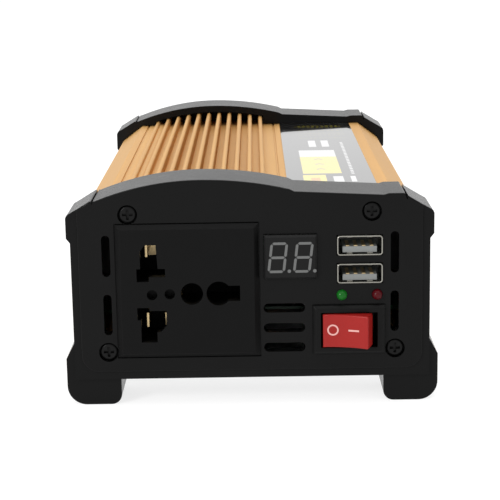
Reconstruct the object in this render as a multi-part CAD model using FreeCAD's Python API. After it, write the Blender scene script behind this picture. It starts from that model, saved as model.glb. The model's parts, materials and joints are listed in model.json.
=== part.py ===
import FreeCAD, Part
import math
import os

# Power inverter: a finned aluminium casing closed by a moulded cover at each end.
# Millimetres. +Z is up, the front panel faces -Y, and X runs to the right as seen from the front.
# Z = 0 is the surface that the feet stand on. "front" and "rear" depths are measured inwards from
# the face of the front cover and from the back of the rear cover.

# ---- overall sizes
BODY_LENGTH = 190.0
COVER_HEIGHT = 66.8
COLLAR_WIDTH = 105.6

# ---- clearances
SLIDE_FIT = 0.3
SCREW_FIT = 0.05
PIVOT_FIT = 0.05
PANEL_FIT = 0.1

# ---- end covers
COVER_DEPTH = 19.2
FACE_THICKNESS = 3.8
PAD_RISE = 0.8
PAD_INSET = 3.2
PAD_FLOOR = 10.3
PAD_CORNER = 5.0
FLOOR_WALL = 2.0
EDGE_ROUND = 0.5
WALL_INSET = 1.1
ARCH_PEAK_X = -14.0
ARCH_END_X = 11.4
ARCH_LEFT_DROP = 5.7
ARCH_RIGHT_DROP = 3.05
STEP_RUN = 1.4
STEP_DROP = 0.7
DIP_DROP = 5.1
SHOULDER_DROP = 4.7
SHOULDER_LENGTH = 4.4
RIDGE_INSET = 7.9
RIDGE_WIDTH = 1.6
RIDGE_DEPTH = 0.9
CHAMFER_TOP_DROP = 5.8
CHAMFER_LOW_DROP = 9.3
COLLAR_TOP_DROP = 11.1
COLLAR_LOW_DROP = 16.6
COLLAR_STEP = 1.4
COLLAR_ROUND = 1.3
UNDERSIDE = 8.0
FOOT_SPREAD = 1.5
FOOT_WIDTH = 15.9
FOOT_OUTER_RADIUS = 5.7
FOOT_INNER_RADIUS = 3.0
FOOT_SHOULDER = 14.0
FOOT_FLARE = 5.0
FOOT_SET_BACK = 2.0
FOOT_HOLLOW_WALL = 2.4
FOOT_HOLLOW_DEPTH = 4.5

# ---- casing
CASING_TOP_DROP = 7.6
CASING_HALF_INSET = 2.8
CASING_WALL = 1.8
CASING_TOP_WALL = 2.0
CHAMFER_WIDTH = 7.5
CHAMFER_HEIGHT = 5.6
FIN_COVER_GAP = 2.8
FIN_PITCH = 4.02
FIN_THICKNESS = 1.5
FIN_FIRST_INSET = 13.8
FIN_LAST_X = 4.1
GROOVE_X = 9.1
GROOVE_WIDTH = 0.8
GROOVE_DEPTH = 0.5
EDGE_STRIP = 2.7
FLANGE_WIDTH = 17.0
PLATE_THICKNESS = 1.5
BOSS_RADIUS = 2.7

# ---- label on the flat of the casing
LABEL_X = (11.6, 38.8)
LABEL_THICKNESS = 0.25
LABEL_END_GAP = 0.3

# ---- screws
SCREW_RADIUS = 1.45
SCREW_HEAD_RADIUS = 2.65
SCREW_RECESS_RADIUS = 2.85
SCREW_RECESS_DEPTH = 2.2
SCREW_HEAD_HEIGHT = 1.7
SCREW_LENGTH = 13.0
TOP_SCREW_DROP = 9.8
TOP_SCREW_INSET = 17.9
LOW_SCREW_Z = 16.4
LOW_SCREW_INSET = 11.2
CROSS_SPAN = 3.0
CROSS_WIDTH = 0.8
CROSS_DEPTH = 1.1
PLATE_SCREW_INSET = 13.0
PLATE_SCREW_LENGTH = 4.6
PLATE_HEAD_RADIUS = 2.6
PLATE_HEAD_DEPTH = 1.3
PLATE_SCREW_END = 24.0

# ---- universal socket
SOCKET_WIDTH = 41.0
SOCKET_HEIGHT = 39.3
SOCKET_CENTRE = (-18.1, 34.5)
SOCKET_RISE = 1.5
SOCKET_CHAMFER = 1.35
SOCKET_SEAT_DEPTH = 0.8
SOCKET_SEAT_GAP = 0.35
SOCKET_FRAME = 2.0
SOCKET_FACE_THICKNESS = 2.5
SOCKET_BODY_DEPTH = 22.0
LIVE_HOLE = ((-12.1, 13.9), (-8.9, 13.9), (-8.5, 6.9), (-6.4, 6.9), (-6.4, 4.5), (-11.1, 4.5),
             (-11.1, 3.1), (-14.6, 3.1), (-14.6, 6.9), (-13.5, 6.9), (-13.5, 12.0))
NEUTRAL_HOLE = ((-14.7, -4.6), (-11.2, -4.6), (-11.2, -5.5), (-6.3, -5.5), (-6.3, -9.9), (-7.9, -11.8),
                (-9.1, -11.8), (-9.1, -14.9), (-13.7, -14.9), (-13.7, -8.2), (-14.7, -8.2))
GUIDE_HOLES = ((-10.3, -0.8), (-5.2, -0.6))
GUIDE_RADIUS = 1.5
EARTH_SMALL = (1.15, -0.6, 3.2)
EARTH_LARGE = (8.9, -0.6, 3.55)
EARTH_SLOT = (8.9, 15.0, 4.5)
CONTACT_THICKNESS = 0.6
CONTACT_DEPTH = 14.0
CONTACT_TAIL = 5.0
CONTACT_TAIL_WIDTH = 4.0
CONTACT_WALL_GAP = 0.6
CONTACT_GRIP = 4.8
CONTACT_HEIGHT = 4.2
BRIDGE_HEIGHT = 3.0
BRIDGE_LAP = 0.6
PIN_LINE_X = -9.5
LIVE_PIN_Z = 10.9
NEUTRAL_PIN_Z = -10.1
CHAMBER_MARGIN = 1.4
CHAMBER_FLOOR = 2.0

# ---- two-digit display
DISPLAY_WIDTH = 15.2
DISPLAY_HEIGHT = 12.9
DISPLAY_CENTRE = (11.5, 44.2)
DISPLAY_RISE = 1.6
DISPLAY_DEPTH = 8.0
DISPLAY_EDGE = 0.6
DIGIT_WIDTH = 4.3
DIGIT_HEIGHT = 8.2
DIGIT_PITCH = 7.3
DIGIT_STROKE = 0.75
DIGIT_SLANT = 0.12
DIGIT_GAP = 0.15
DOT_RADIUS = 0.5
DOT_OFFSET = (3.25, -4.0)
SEGMENT_DEPTH = 0.6
SEGMENT_PROUD = 0.05
PANEL_BOARD_THICKNESS = 1.2
PANEL_BOARD_MARGIN = 1.0

# ---- USB ports
USB_CENTRE = (31.4, 43.1)
USB_PITCH = 8.2
USB_WIDTH = 13.1
USB_HEIGHT = 5.8
USB_WALL = 0.4
USB_RISE = 0.8
USB_DEPTH = 14.0
TONGUE_WIDTH = 9.8
TONGUE_THICKNESS = 1.7
TONGUE_OFFSET = -1.3
TONGUE_SETBACK = 1.2
USB_BACK_WALL = 2.0
USB_PIN_COUNT = 4
USB_PIN_PITCH = 2.3
USB_PIN_WIDTH = 1.0
USB_PIN_THICKNESS = 0.25
USB_PIN_LENGTH = 7.0

# ---- indicator lamps
LED_RADIUS = 1.5
LED_RISE = 1.9
LED_BODY_DEPTH = 5.0
LED_FLANGE_RADIUS = 1.9
LED_FLANGE = 0.8
GREEN_LED_X = 26.2
RED_LED_X = 36.4
LED_Z = 32.6

# ---- rocker switch
SWITCH_CENTRE = (28.25, 22.45)
BEZEL_FLANGE = 1.1
BEZEL_RISE = 1.8
SWITCH_SIDE_WALL = 1.3
SWITCH_PIVOT_WALL = 0.95
SWITCH_BODY_DEPTH = 15.0
SWITCH_OPENING_WIDTH = 16.2
SWITCH_OPENING_DEPTH = 8.6
ROCKER_HEIGHT = 9.7
ROCKER_SIDE_GAP = 0.35
ROCKER_TOP_HALF = 6.6
ROCKER_BASE_HALF = 7.1
ROCKER_END_REACH = 5.2
ROCKER_FACET_DEG = 14.0
ROCKER_TILT_DEG = 14.0
ROCKER_KEEL_HALF = 4.2
ROCKER_KEEL_DROP = 3.2
PIVOT_DEPTH = 1.0
PIVOT_RADIUS = 1.2
PIVOT_REACH = 0.8
TERMINAL_WIDTH = 4.8
TERMINAL_THICKNESS = 0.8
TERMINAL_LENGTH = 7.0
TERMINAL_SPACING = 8.0

# ---- vents
VENT_V_LENGTH = 12.1
VENT_V_WIDTH = 2.4
VENT_V_INSET = 11.35
VENT_V_CENTRES = (45.0, 27.6)
VENT_H_CENTRE_X = 9.6
VENT_H_LENGTH = 12.0
VENT_H_HEIGHT = 2.7
VENT_H_CENTRES = (28.95, 23.05, 17.2)

# ---- fan
FAN_SIZE = 40.0
FAN_DEPTH = 10.0
FAN_CENTRE = (16.0, 34.0)
FAN_RIM = 1.2
FAN_SCREW_INSET = 4.0
FAN_PLATE = 1.2
HUB_RADIUS = 8.5
HUB_DEPTH = 7.0
HUB_WALL = 1.0
BLADE_COUNT = 7
BLADE_THICKNESS = 1.0
BLADE_TIP_GAP = 0.8
BLADE_TWIST_DEG = 38.0
STATOR_RADIUS = 6.6
STATOR_BODY = 3.6
STATOR_SLOT = 2.0
SPINDLE_RADIUS = 1.0
ROTOR_GAP = 0.8
FAN_SCREW_RADIUS = 1.7
GUARD_WIRE = 0.8
GUARD_RING_COUNT = 3
GUARD_RING_PITCH = 5.5
GUARD_EYE_RADIUS = 3.2
GUARD_EYE_THICKNESS = 1.2
GUARD_LIFT = 0.3

# ---- binding posts
POST_X = {"positive": -18.0, "negative": -38.0}
POST_Z = 31.0
POST_COLLAR_RADIUS = 7.6
POST_COLLAR_LENGTH = 4.0
POST_SPIGOT_WALL = 1.6
STUD_RADIUS = 3.0
STUD_INSIDE = 8.0
STUD_PROUD = 1.0
POST_WASHER_THICKNESS = 1.0
POST_WASHER_RADIUS = 6.4
KNOB_RADIUS = 7.2
KNOB_LENGTH = 14.5
KNOB_FLUTES = 12
KNOB_FLUTE_RADIUS = 1.0
KNOB_FIT = 0.08
NUT_ACROSS = 10.0
NUT_THICKNESS = 3.2
LUG_THICKNESS = 1.2
LUG_MARGIN = 2.2
LUG_BARREL_RADIUS = 3.2
LUG_BARREL_LENGTH = 5.5
LUG_BARREL_RISE = 1.2

# ---- main board and what stands on it
STANDOFF_HEIGHT = 8.4
STANDOFF_RADIUS = 2.6
BOARD_THICKNESS = 1.6
BOARD_FRONT_GAP = 2.0
BOARD_REAR_GAP = 3.2
BOARD_SIDE_GAP = 1.7
STANDOFF_X = 27.0
STANDOFF_END = 7.0
BOARD_SCREW_LENGTH = 7.0
TRANSFORMER_SIZE = (40.0, 34.0, 30.0)
TRANSFORMER_X = 16.0
TRANSFORMER_REAR = 24.0
CORE_LIMB = 7.0
BOBBIN_HEIGHT = 20.0
BOBBIN_GAP = 0.4
CHOKE_CENTRE = (-14.0, 42.0)
CHOKE_RADIUS = 12.5
CHOKE_BORE = 6.0
CHOKE_HEIGHT = 9.0
CHOKE_WIRE = 1.1
CHOKE_TURNS = 12
CHOKE_LIFT = 1.4
BUS_CAP_RADIUS = 9.0
BUS_CAP_HEIGHT = 30.0
BUS_CAP_CENTRE = (20.0, 25.0)
INPUT_CAP_RADIUS = 5.0
INPUT_CAP_HEIGHT = 20.0
INPUT_CAP_COUNT = 3
INPUT_CAP_PITCH = 11.5
INPUT_CAP_FIRST = (-12.0, 27.0)
CAP_SLEEVE_GAP = 1.0
MOSFET_SIZE = (4.5, 10.2, 15.5)
MOSFET_COUNT = 4
MOSFET_PITCH = 13.0
MOSFET_FRONT = 12.0
MOSFET_LIFT = 6.0
MOSFET_LEG_PITCH = 2.54
MOSFET_LEG_WIDTH = 0.9
HEAT_PAD_THICKNESS = 0.5
HEAT_PAD_MARGIN = 1.0
CLAMP_THICKNESS = 1.2
CLAMP_HEIGHT = 6.0
CLAMP_BEND = 3.0
FUSE_COUNT = 2
FUSE_SIZE = (19.0, 5.0, 12.0)
FUSE_REAR = 8.0
FUSE_PITCH = 9.0
FUSE_X = 12.0
HOLDER_MARGIN = 1.5
HOLDER_HEIGHT = 6.0
HOLDER_SINK = 5.0
CHIP_SIZE = (9.0, 19.5, 3.6)
CHIP_X = (-3.0, -14.0)
CHIP_FRONT = 5.0
BUZZER_RADIUS = 5.8
BUZZER_HEIGHT = 9.0
BUZZER_CENTRE = (9.0, 12.0)

# ---- leads
DC_LEAD_RADIUS = 2.2
DC_LEAD_STEPS = ((12.0, 0.6), (24.0, 10.0))
DC_LEAD_CREST = 3.0
AC_LEAD_RADIUS = 1.2
AC_LEAD_RUN = 9.0
AC_LEAD_LIFT = 12.0
AC_LEAD_RISE = 3.0
AC_LEAD_ENDS = ((-26.0, 28.0), (-24.0, 20.0), (-20.0, 24.0))
SWITCH_LEAD_RADIUS = 0.9
SWITCH_LEAD_STEPS = ((0.0, 6.0, 0.0), (2.0, 12.0, 8.0), (3.0, 17.0, 7.0))

# ---- derived places
COLLAR_HALF = COLLAR_WIDTH / 2
WALL_HALF = COLLAR_HALF - WALL_INSET
FOOT_HALF = COLLAR_HALF + FOOT_SPREAD
CASING_HALF = COLLAR_HALF - CASING_HALF_INSET
CASING_TOP = COVER_HEIGHT - CASING_TOP_DROP
CEILING = CASING_TOP - CASING_TOP_WALL
PLATE_BOTTOM = UNDERSIDE + FLOOR_WALL + SLIDE_FIT
PLATE_TOP = PLATE_BOTTOM + PLATE_THICKNESS
FLANGE_TOP = PLATE_TOP + CASING_WALL
BOARD_BOTTOM = PLATE_TOP + STANDOFF_HEIGHT
BOARD_TOP = BOARD_BOTTOM + BOARD_THICKNESS
SWITCH_OPENING_HEIGHT = ROCKER_HEIGHT + 2 * ROCKER_SIDE_GAP
SWITCH_BODY_WIDTH = SWITCH_OPENING_WIDTH + 2 * SWITCH_SIDE_WALL
SWITCH_BODY_HEIGHT = SWITCH_OPENING_HEIGHT + 2 * SWITCH_PIVOT_WALL
BEZEL_WIDTH = SWITCH_BODY_WIDTH + 2 * BEZEL_FLANGE
BEZEL_HEIGHT = SWITCH_BODY_HEIGHT + 2 * BEZEL_FLANGE
POST_SPIGOT_RADIUS = STUD_RADIUS + POST_SPIGOT_WALL
LUG_RADIUS = STUD_RADIUS + LUG_MARGIN
FAN_BORE_RADIUS = FAN_SIZE / 2 - FAN_RIM
FAN_SCREW_PITCH = FAN_SIZE - 2 * FAN_SCREW_INSET
GUARD_OUTER = FAN_BORE_RADIUS - GUARD_WIRE
GUARD_RINGS = [GUARD_OUTER - i * GUARD_RING_PITCH for i in range(GUARD_RING_COUNT)]
ROCKER_REACH = ROCKER_END_REACH * math.cos(math.radians(ROCKER_TILT_DEG))
ROCKER_REACH += ROCKER_TOP_HALF * math.sin(math.radians(ROCKER_TILT_DEG))
FRONT_REACH = ROCKER_REACH - PIVOT_DEPTH
REAR_REACH = POST_COLLAR_LENGTH + POST_WASHER_THICKNESS + KNOB_LENGTH + STUD_PROUD
Y_FRONT = (FRONT_REACH - REAR_REACH - BODY_LENGTH) / 2
Y_BACK = Y_FRONT + BODY_LENGTH
CASING_FRONT = Y_FRONT + FACE_THICKNESS + SLIDE_FIT
CASING_BACK = Y_BACK - FACE_THICKNESS - SLIDE_FIT
BOARD_FRONT = Y_FRONT + SOCKET_BODY_DEPTH + CONTACT_TAIL + BOARD_FRONT_GAP
BOARD_BACK = Y_BACK - FACE_THICKNESS - FAN_DEPTH - BOARD_REAR_GAP
ARCH_LEFT_X = -(COLLAR_HALF - RIDGE_INSET - RIDGE_WIDTH / 2)


def vec(x, y, z):
    return FreeCAD.Vector(x, y, z)


def box(x0, x1, y0, y1, z0, z1):
    return Part.makeBox(x1 - x0, y1 - y0, z1 - z0, vec(x0, y0, z0))


def block(centre, width, height, y0, y1):
    """A box centred on an (X, Z) place and running from y0 to y1."""
    x, z = centre
    return box(x - width / 2, x + width / 2, y0, y1, z - height / 2, z + height / 2)


def pillar(x, y, width, depth, z0, z1):
    """An upright box centred on an (X, Y) place."""
    return box(x - width / 2, x + width / 2, y - depth / 2, y + depth / 2, z0, z1)


def rod_y(x, z, radius, y0, y1):
    return Part.makeCylinder(radius, y1 - y0, vec(x, y0, z), vec(0, 1, 0))


def rod_z(x, y, radius, z0, z1):
    return Part.makeCylinder(radius, z1 - z0, vec(x, y, z0), vec(0, 0, 1))


def fuse(shapes):
    shapes = list(shapes)
    return shapes[0].multiFuse(shapes[1:]).removeSplitter() if len(shapes) > 1 else shapes[0]


def cut(shape, tools):
    return shape.cut(Part.makeCompound(list(tools)))


def profile(start, steps):
    """A face in the XZ plane. A step is an end point, or a point on an arc and the arc's end point."""
    edges = []
    here = vec(start[0], 0, start[1])
    for step in list(steps) + [start]:
        there = vec(step[-2], 0, step[-1])
        if len(step) == 4:
            edges.append(Part.Arc(here, vec(step[0], 0, step[1]), there).toShape())
        elif here.distanceToPoint(there) > 1e-6:
            edges.append(Part.makeLine(here, there))
        here = there
    return Part.Face(Part.Wire(edges))


def prism(face, y0, y1):
    solid = face.extrude(vec(0, y1 - y0, 0))
    solid.translate(vec(0, y0, 0))
    return solid


def slot(x, z, length, width, y0, y1, upright):
    """A slot with round ends, running through from y0 to y1."""
    run = (length - width) / 2
    dx, dz = (0, run) if upright else (run, 0)
    middle = block((x, z), 2 * dx or width, 2 * dz or width, y0, y1)
    ends = [rod_y(x + s * dx, z + s * dz, width / 2, y0, y1) for s in (-1, 1)]
    return fuse([middle] + ends)


def tube(points, radius):
    """A wire of straight runs joined by tangent arcs as large as the runs allow."""
    points = [vec(*p) for p in points]
    edges = []
    here = points[0]
    for before, corner, after in zip(points, points[1:], points[2:]):
        a = before - corner
        b = after - corner
        run = 0.45 * min(a.Length, b.Length)
        start = corner + a.normalize() * run
        end = corner + b.normalize() * run
        turn = (start + end) * 0.5 - corner
        half = math.pi / 2 - a.getAngle(b) / 2
        bend = run / math.tan(half)
        reach = math.hypot(bend, run) - bend
        edges.append(Part.makeLine(here, start))
        edges.append(Part.Arc(start, corner + turn.normalize() * reach, end).toShape())
        here = end
    edges.append(Part.makeLine(here, points[-1]))
    path = Part.Wire(edges)
    ring = Part.Wire(Part.makeCircle(radius, points[0], points[1] - points[0]))
    solid = path.makePipeShell([ring], True, False)
    length = sum(e.Length for e in edges)
    ratio = solid.Volume / (math.pi * radius ** 2 * length)
    print("lead", round(length, 1), "mm, volume ratio", round(ratio, 4))
    return solid


def arch_z(x, depth):
    """Height of the cover's arch at x, for the curve that lies depth inside the outer one."""
    if x < ARCH_PEAK_X:
        run, drop = ARCH_PEAK_X - ARCH_LEFT_X, ARCH_LEFT_DROP
    else:
        run, drop = ARCH_END_X - ARCH_PEAK_X, ARCH_RIGHT_DROP
    radius = (run ** 2 + drop ** 2) / (2 * drop)
    return COVER_HEIGHT - radius + math.sqrt((radius - depth) ** 2 - (x - ARCH_PEAK_X) ** 2)


def arch_steps(x0, x1, depth):
    """Two arcs from x0 over the peak to x1."""
    steps = []
    for a, b in ((x0, ARCH_PEAK_X), (ARCH_PEAK_X, x1)):
        middle = (a + b) / 2
        steps.append((middle, arch_z(middle, depth), b, arch_z(b - 1e-9, depth)))
    return steps


def cover_outline():
    """Outer shape of both covers above the feet."""
    top = COVER_HEIGHT
    inner = COLLAR_HALF - RIDGE_INSET + RIDGE_WIDTH / 2
    chamfer_x = COLLAR_HALF - COLLAR_ROUND
    bulge_x = COLLAR_HALF - 0.3 * COLLAR_ROUND
    bulge_z = top - COLLAR_TOP_DROP + 0.65 * (COLLAR_TOP_DROP - CHAMFER_LOW_DROP)
    left_end = arch_z(ARCH_LEFT_X, 0)
    steps = [
        (-WALL_HALF, top - COLLAR_LOW_DROP - COLLAR_STEP),
        (-COLLAR_HALF, top - COLLAR_LOW_DROP),
        (-COLLAR_HALF, top - COLLAR_TOP_DROP),
        (-bulge_x, bulge_z, -chamfer_x, top - CHAMFER_LOW_DROP),
        (-inner, top - CHAMFER_TOP_DROP),
        (ARCH_LEFT_X, left_end),
    ]
    steps += arch_steps(ARCH_LEFT_X, ARCH_END_X, 0)
    steps += [
        (ARCH_END_X + STEP_RUN, top - ARCH_RIGHT_DROP - STEP_DROP),
        (inner - RIDGE_WIDTH - SHOULDER_LENGTH - STEP_RUN, top - DIP_DROP),
        (inner - RIDGE_WIDTH - SHOULDER_LENGTH, top - SHOULDER_DROP),
        (inner - RIDGE_WIDTH, top - SHOULDER_DROP),
        (inner, top - CHAMFER_TOP_DROP),
        (chamfer_x, top - CHAMFER_LOW_DROP),
        (bulge_x, bulge_z, COLLAR_HALF, top - COLLAR_TOP_DROP),
        (COLLAR_HALF, top - COLLAR_LOW_DROP),
        (WALL_HALF, top - COLLAR_LOW_DROP - COLLAR_STEP),
        (WALL_HALF, UNDERSIDE),
    ]
    return profile((-WALL_HALF, UNDERSIDE), steps)


def foot_outline(side):
    """One foot, which flares out of the side wall and ends flat on the ground."""
    outer, inner = FOOT_HALF, FOOT_HALF - FOOT_WIDTH
    low, bend = FOOT_OUTER_RADIUS, FOOT_INNER_RADIUS
    diagonal = 1 - math.sqrt(0.5)
    points = [
        (outer, FOOT_SHOULDER),
        (outer, low),
        (outer - low * diagonal, low * diagonal, outer - low, 0),
        (inner + bend, 0),
        (inner + bend * diagonal, bend * diagonal, inner, bend),
        (inner, UNDERSIDE + FLOOR_WALL),
        (WALL_HALF - CASING_WALL, UNDERSIDE + FLOOR_WALL),
        (WALL_HALF - CASING_WALL, FOOT_SHOULDER + FOOT_FLARE),
    ]
    mirrored = [tuple(side * c if i % 2 == 0 else c for i, c in enumerate(p)) for p in points]
    return profile((side * WALL_HALF, FOOT_SHOULDER + FOOT_FLARE), mirrored)


def cavity_outline(gap):
    """The casing's envelope, fins included, grown by gap."""
    half = CASING_HALF + gap
    shoulder = CASING_HALF - CHAMFER_WIDTH + gap / 2
    top = CASING_TOP + gap
    depth = FIN_COVER_GAP - gap
    left = -(CASING_HALF - FIN_FIRST_INSET) - FIN_THICKNESS / 2 - gap
    right = FIN_LAST_X + FIN_THICKNESS / 2 + gap
    steps = [(-half, CASING_TOP - CHAMFER_HEIGHT + gap / 2), (-shoulder, top), (left, top)]
    steps += [(left, arch_z(left, depth))] + arch_steps(left, right, depth)
    steps += [(right, top), (shoulder, top), (half, CASING_TOP - CHAMFER_HEIGHT + gap / 2)]
    steps += [(half, PLATE_BOTTOM - gap)]
    return profile((-half, PLATE_BOTTOM - gap), steps)


def cover_screw_places():
    top = COVER_HEIGHT - TOP_SCREW_DROP
    places = [(s * (COLLAR_HALF - TOP_SCREW_INSET), top) for s in (-1, 1)]
    return places + [(s * (COLLAR_HALF - LOW_SCREW_INSET), LOW_SCREW_Z) for s in (-1, 1)]


def cover_shell():
    """A cover as the front one lies, with its outer face at y = 0 and no openings for fittings."""
    body = prism(cover_outline(), PAD_RISE, COVER_DEPTH)
    pad_half = COLLAR_HALF - PAD_INSET
    pad_box = box(-pad_half, pad_half, 0, 2 * PAD_RISE, PAD_FLOOR, 2 * COVER_HEIGHT)
    low = [e for e in pad_box.Edges if abs(e.CenterOfMass.z - PAD_FLOOR) < 1e-6]
    corners = [e for e in low if abs(e.Vertexes[0].Y - e.Vertexes[-1].Y) > PAD_RISE]
    pad_box = pad_box.makeFillet(PAD_CORNER, corners)
    pad = prism(cover_outline(), 0, 2 * PAD_RISE).common(pad_box)
    rim = [e for e in pad.Edges if abs(e.CenterOfMass.y) < 1e-6]
    pad = pad.makeFillet(EDGE_ROUND, rim)
    feet = [prism(foot_outline(s), FOOT_SET_BACK, COVER_DEPTH) for s in (-1, 1)]
    shell = fuse([body, pad] + feet)
    cavity = prism(cavity_outline(SLIDE_FIT), FACE_THICKNESS, COVER_DEPTH + 1)
    cuts = [cavity]
    for s in (-1, 1):
        x = s * (COLLAR_HALF - RIDGE_INSET)
        top = COVER_HEIGHT - CHAMFER_TOP_DROP + RIDGE_DEPTH
        nick = profile((x - RIDGE_WIDTH / 2, top + RIDGE_DEPTH),
                       [(x + RIDGE_WIDTH / 2, top + RIDGE_DEPTH), (x, top - 2 * RIDGE_DEPTH)])
        cuts.append(prism(nick, -1, COVER_DEPTH + 1))
        foot_x = s * (FOOT_HALF - FOOT_WIDTH / 2)
        hollow = FOOT_WIDTH - 2 * FOOT_HOLLOW_WALL - FOOT_INNER_RADIUS
        cuts.append(box(foot_x - hollow / 2, foot_x + hollow / 2, FOOT_SET_BACK + FOOT_HOLLOW_WALL,
                        COVER_DEPTH - FOOT_HOLLOW_WALL, -1, FOOT_HOLLOW_DEPTH))
    for x, z in cover_screw_places():
        cuts.append(rod_y(x, z, SCREW_RADIUS + SCREW_FIT, -1, FACE_THICKNESS + 1))
        cuts.append(rod_y(x, z, SCREW_RECESS_RADIUS, -1, SCREW_RECESS_DEPTH))
    return cut(shell, cuts)


def panel_opening(centre, width, height):
    """A hole right through a cover's face for a fitting of that size."""
    return block(centre, width + 2 * PANEL_FIT, height + 2 * PANEL_FIT, -1, FACE_THICKNESS + 1)


def front_cover():
    through = (-1, FACE_THICKNESS + 1)
    cuts = [panel_opening(SOCKET_CENTRE, SOCKET_WIDTH - 2 * SOCKET_FRAME, SOCKET_HEIGHT - 2 * SOCKET_FRAME)]
    seat_width = SOCKET_WIDTH + 2 * SOCKET_SEAT_GAP
    seat_height = SOCKET_HEIGHT + 2 * SOCKET_SEAT_GAP
    cuts.append(block(SOCKET_CENTRE, seat_width, seat_height, -1, SOCKET_SEAT_DEPTH))
    cuts.append(panel_opening(DISPLAY_CENTRE, DISPLAY_WIDTH, DISPLAY_HEIGHT))
    for z in usb_heights():
        cuts.append(panel_opening((USB_CENTRE[0], z), USB_WIDTH, USB_HEIGHT))
    for x in (GREEN_LED_X, RED_LED_X):
        cuts.append(rod_y(x, LED_Z, LED_RADIUS + PANEL_FIT, *through))
    cuts.append(panel_opening(SWITCH_CENTRE, SWITCH_BODY_WIDTH, SWITCH_BODY_HEIGHT))
    for x in (VENT_V_INSET - COLLAR_HALF, COLLAR_HALF - VENT_V_INSET):
        for z in VENT_V_CENTRES:
            cuts.append(slot(x, z, VENT_V_LENGTH, VENT_V_WIDTH, *through, True))
    for z in VENT_H_CENTRES:
        cuts.append(slot(VENT_H_CENTRE_X, z, VENT_H_LENGTH, VENT_H_HEIGHT, *through, False))
    cover = cut(cover_shell(), cuts)
    cover.translate(vec(0, Y_FRONT, 0))
    return cover


def rear_cover():
    cover = cover_shell().mirror(vec(0, 0, 0), vec(0, 1, 0))
    cover.translate(vec(0, Y_BACK, 0))
    y0, y1 = Y_BACK - FACE_THICKNESS - 1, Y_BACK + 1
    cuts = [rod_y(*FAN_CENTRE, FAN_BORE_RADIUS, y0, y1)]
    cuts += [rod_y(x, z, FAN_SCREW_RADIUS + SCREW_FIT, y0, y1) for x, z in fan_screw_places()]
    cuts += [rod_y(x, POST_Z, POST_SPIGOT_RADIUS + SCREW_FIT, y0, y1) for x in POST_X.values()]
    return cut(cover, cuts)


def phillips(x, z, y):
    """The cross recess in a head whose top is at y and faces -Y."""
    bars = [block((x, z), CROSS_SPAN, CROSS_WIDTH, y - 1, y + CROSS_DEPTH),
            block((x, z), CROSS_WIDTH, CROSS_SPAN, y - 1, y + CROSS_DEPTH)]
    return fuse(bars)


def cover_screws(front):
    solids = []
    for x, z in cover_screw_places():
        seat = SCREW_RECESS_DEPTH
        head = rod_y(x, z, SCREW_HEAD_RADIUS, seat - SCREW_HEAD_HEIGHT, seat)
        top = [e for e in head.Edges if abs(e.CenterOfMass.y - seat + SCREW_HEAD_HEIGHT) < 1e-6]
        head = head.makeFillet(SCREW_HEAD_HEIGHT / 2, top)
        shank = rod_y(x, z, SCREW_RADIUS, seat, seat + SCREW_LENGTH)
        solids.append(cut(fuse([head, shank]), [phillips(x, z, seat - SCREW_HEAD_HEIGHT)]))
    group = Part.makeCompound(solids)
    if not front:
        group = group.mirror(vec(0, 0, 0), vec(0, 1, 0))
    group.translate(vec(0, Y_FRONT if front else Y_BACK, 0))
    return group


def plate_screw_places():
    middle = (CASING_FRONT + CASING_BACK) / 2
    rows = (CASING_FRONT + PLATE_SCREW_END, middle, CASING_BACK - PLATE_SCREW_END)
    return [(s * (CASING_HALF - PLATE_SCREW_INSET), y) for s in (-1, 1) for y in rows]


def fin_places():
    first = -(CASING_HALF - FIN_FIRST_INSET)
    count = int((FIN_LAST_X - first) / FIN_PITCH) + 1
    return [first + i * FIN_PITCH for i in range(count)]


def casing_extrusion():
    half, top = CASING_HALF, CASING_TOP
    shoulder = half - CHAMFER_WIDTH
    knee = top - CHAMFER_HEIGHT
    wall = CASING_WALL
    inner = half - wall
    inner_shoulder = shoulder - wall / 3
    lip = half - FLANGE_WIDTH
    steps = [
        (-half, knee), (-shoulder, top), (shoulder, top), (half, knee),
        (half, PLATE_TOP), (lip, PLATE_TOP), (lip, FLANGE_TOP), (inner, FLANGE_TOP),
        (inner, knee - wall / 3), (inner_shoulder, CEILING),
        (-inner_shoulder, CEILING), (-inner, knee - wall / 3),
        (-inner, FLANGE_TOP), (-lip, FLANGE_TOP), (-lip, PLATE_TOP),
    ]
    pieces = [prism(profile((-half, PLATE_TOP), steps), CASING_FRONT, CASING_BACK)]
    for x in fin_places():
        tip = arch_z(x, FIN_COVER_GAP) - FIN_THICKNESS / 2
        x0, x1 = x - FIN_THICKNESS / 2, x + FIN_THICKNESS / 2
        pieces.append(box(x0, x1, CASING_FRONT, CASING_BACK, top - 1, tip))
        pieces.append(rod_y(x, tip, FIN_THICKNESS / 2, CASING_FRONT, CASING_BACK))
    for x, z in cover_screw_places():
        pieces.append(rod_y(x, z, BOSS_RADIUS, CASING_FRONT, CASING_BACK))
        if z < COVER_HEIGHT / 2:
            pieces.append(box(x - BOSS_RADIUS, x + BOSS_RADIUS, CASING_FRONT, CASING_BACK, FLANGE_TOP - 1, z))
    body = fuse(pieces)
    ends = (CASING_FRONT - 1, CASING_BACK + 1)
    clip = box(-half, half, *ends, PLATE_TOP, 2 * top)
    above = box(max(fin_places()) + FIN_THICKNESS, half, *ends, top, 2 * top)
    cuts = [above]
    for x, z in cover_screw_places():
        cuts.append(rod_y(x, z, SCREW_RADIUS + SCREW_FIT, *ends))
    for x in (GROOVE_X, -(shoulder - EDGE_STRIP)):
        cuts.append(box(x - GROOVE_WIDTH / 2, x + GROOVE_WIDTH / 2, *ends, top - GROOVE_DEPTH, top + 1))
    for x, y in plate_screw_places():
        cuts.append(rod_z(x, y, SCREW_RADIUS + SCREW_FIT, PLATE_TOP - 1, FLANGE_TOP + 1))
    return cut(body.common(clip), cuts)


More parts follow.
